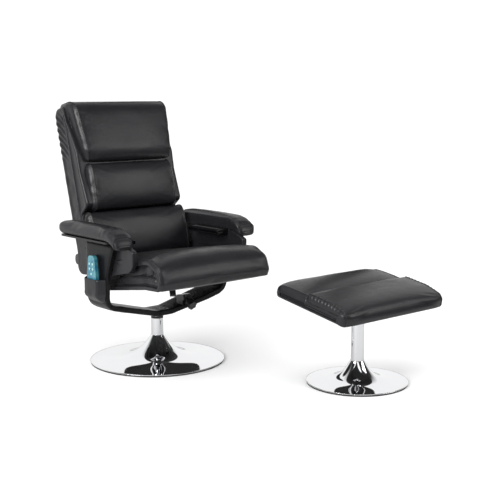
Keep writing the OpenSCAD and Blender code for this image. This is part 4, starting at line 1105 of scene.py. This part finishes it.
for body, paths in weltPaths.items():
    alongPaths(body.replace("_", "") + "Welts", paths, weltTree,
               {"Radius": seam["weltRadius"] * mm, "Step": seam["weltStep"] * mm,
                "Finish": blackLeather}, body)
for body, paths in stitchPaths.items():
    alongPaths(body.replace("_", "") + "Stitches", paths, stitchTree,
               {"Pitch": seam["threadPitch"] * mm, "Length": seam["threadLength"] * mm,
                "Radius": seam["threadRadius"] * mm, "Finish": threadPaint}, body)
print("seams sewn")


finish = {
    rubber: "chair_floor_ring stool_floor_ring",
    enamel: "chair_ballast stool_ballast cradle_bar hinge_bracket_left hinge_bracket_right lock_bracket "
            "lock_tongue seat_guide_left seat_guide_right back_hinge_plates",
    chrome: "chair_post stool_post",
    nylon: "chair_bush stool_bush arm_board_left arm_board_right power_inlet handset_back",
    groundSteel: "chair_spindle stool_spindle",
    zincPlate: "frame_bolts guide_pins",
    knobPlastic: "lock_knob",
    dustCover: "seat_board stool_board",
    casingPlastic: "seat_motor_casings control_box back_motor_casings",
    brass: "seat_rotor_left seat_rotor_right back_rotor_low_left back_rotor_low_right "
           "back_rotor_high_left back_rotor_high_right",
    plywood: "back_board",
    handsetShell: "handset_front",
    laminate: "handset_circuit",
    buttonRubber: "power_button strength_button speed_button zone_button timer_button",
}
for material, names in finish.items():
    for name in names.split():
        nodes[name].data.materials.clear()
        nodes[name].data.materials.append(material)


# In metres. floor is the disc's radius and middle, bounce its grey for every ray but the camera's, and
# seen, lit and mirrored are the world's strengths for the camera, the leather and the chrome.
stage = {"floor": (2.0, 0.35, 0.1), "floorSides": 64, "bounce": 0.56, "away": (0.656, 0.755), "seen": 1.12,
         "lit": 0.85, "mirrored": (0.035, 1.0), "bright": (0.35, 0.90, -0.25), "edge": 0.86,
         "sun": 1.0, "sunAngle": 60, "sunSpot": (-1.5, -1.2, 4), "aim": (0.1, -0.2, 0.5),
         "cards": {"chairCard": {"behind": (0, 0), "beyond": 2.0, "right": -0.16, "foot": 0.62, "top": 2.9,
                                 "wide": 0.60, "narrow": 0.34},
                   "stoolCard": {"behind": (0.384, -0.782), "beyond": 1.3, "right": 0.13, "foot": 0.42,
                                 "top": 2.4, "wide": 0.26, "narrow": 0.30}},
         "lamps": {"left": ((-3.5, -0.9, 1.9), 1.8, 112), "right": ((2.5, -3.5, 2.3), 1.9, 40)}}


def addLamp(name, kind, spot, aim, **settings):
    data = bpy.data.lights.new(name, kind)
    for key, value in settings.items():
        setattr(data, key, value)
    lamp = bpy.data.objects.new(name, data)
    lamp.location = spot
    lamp.rotation_euler = (Vector(aim) - Vector(spot)).to_track_quat("-Z", "Y").to_euler()
    bpy.context.scene.collection.objects.link(lamp)


# What the camera sees is white, what lights the leather is even, and what the chrome mirrors is
# white beyond the chair and dark on the near side
def addWorld():
    world = bpy.data.worlds.new("Studio")
    bpy.context.scene.world = world
    world.use_nodes = True
    world.node_tree.nodes.clear()
    t = Tree(world.node_tree)
    ray = t.node("ShaderNodeTexCoord")["Generated"]
    facing = t.node("ShaderNodeVectorMath", {"operation": "DOT_PRODUCT"},
                    {0: ray, 1: stage["bright"]})["Value"]
    mirrored = t.between(facing, 0.05, 0.45, *stage["mirrored"])
    mirrored = mirrored - t.between(facing, 0.85, 1.0, 0.0, 1 - stage["edge"])
    path = t.node("ShaderNodeLightPath")
    seen, lit = path["Is Camera Ray"], path["Is Diffuse Ray"]
    strength = seen * stage["seen"] + lit * stage["lit"] + (1 - seen - lit) * mirrored
    shine = t.node("ShaderNodeBackground", {}, {"Color": (1, 1, 1, 1), "Strength": strength})["Background"]
    t.node("ShaderNodeOutputWorld", {}, {"Surface": shine})


def addStage():
    reach, east, north = stage["floor"]
    sides = stage["floorSides"]
    turns = [2 * math.pi * k / sides for k in range(sides)]
    rim = [(east + reach * math.cos(a), north + reach * math.sin(a), 0) for a in turns]
    floor = makePiece("floor", rim, [tuple(range(sides))], smooth=False)
    m, t, at = startPaint("Floor")
    seen = t.node("ShaderNodeLightPath")["Is Camera Ray"]
    pale = t.mix(t.noise(at, 3.0), (0.94,) * 3, (0.96,) * 3)
    endPaint(m, t, Base_Color=t.mix(seen, (stage["bounce"],) * 3, pale), Roughness=0.85)
    floor.data.materials.append(m)
    m, t, at = startPaint("Black card")
    endPaint(m, t, Base_Color=t.mix(t.noise(at, 5.0), (0.004,) * 3, (0.008,) * 3), Roughness=0.9)
    away = Vector(stage["away"])
    right = Vector((away.y, -away.x))
    for name, c in stage["cards"].items():
        middle = Vector(c["behind"]) + away * c["beyond"] + right * c["right"]
        corners = [(*(middle + right * c[wide] / 2 * sign), c[level]) for wide, level, sign in
                   (("wide", "foot", -1), ("wide", "foot", 1), ("narrow", "top", 1), ("narrow", "top", -1))]
        card = makePiece(name, corners, [(0, 1, 2, 3)], m, smooth=False)
        card.visible_camera = card.visible_diffuse = card.visible_shadow = False
    addWorld()
    addLamp("sky", "SUN", stage["sunSpot"], (0, 0, 0), energy=stage["sun"],
            angle=math.radians(stage["sunAngle"]))
    for name, (spot, size, power) in stage["lamps"].items():
        addLamp(name, "AREA", spot, stage["aim"], energy=power, size=size)
    bpy.context.scene.view_settings.view_transform = "Standard"


addStage()
print("stage set")
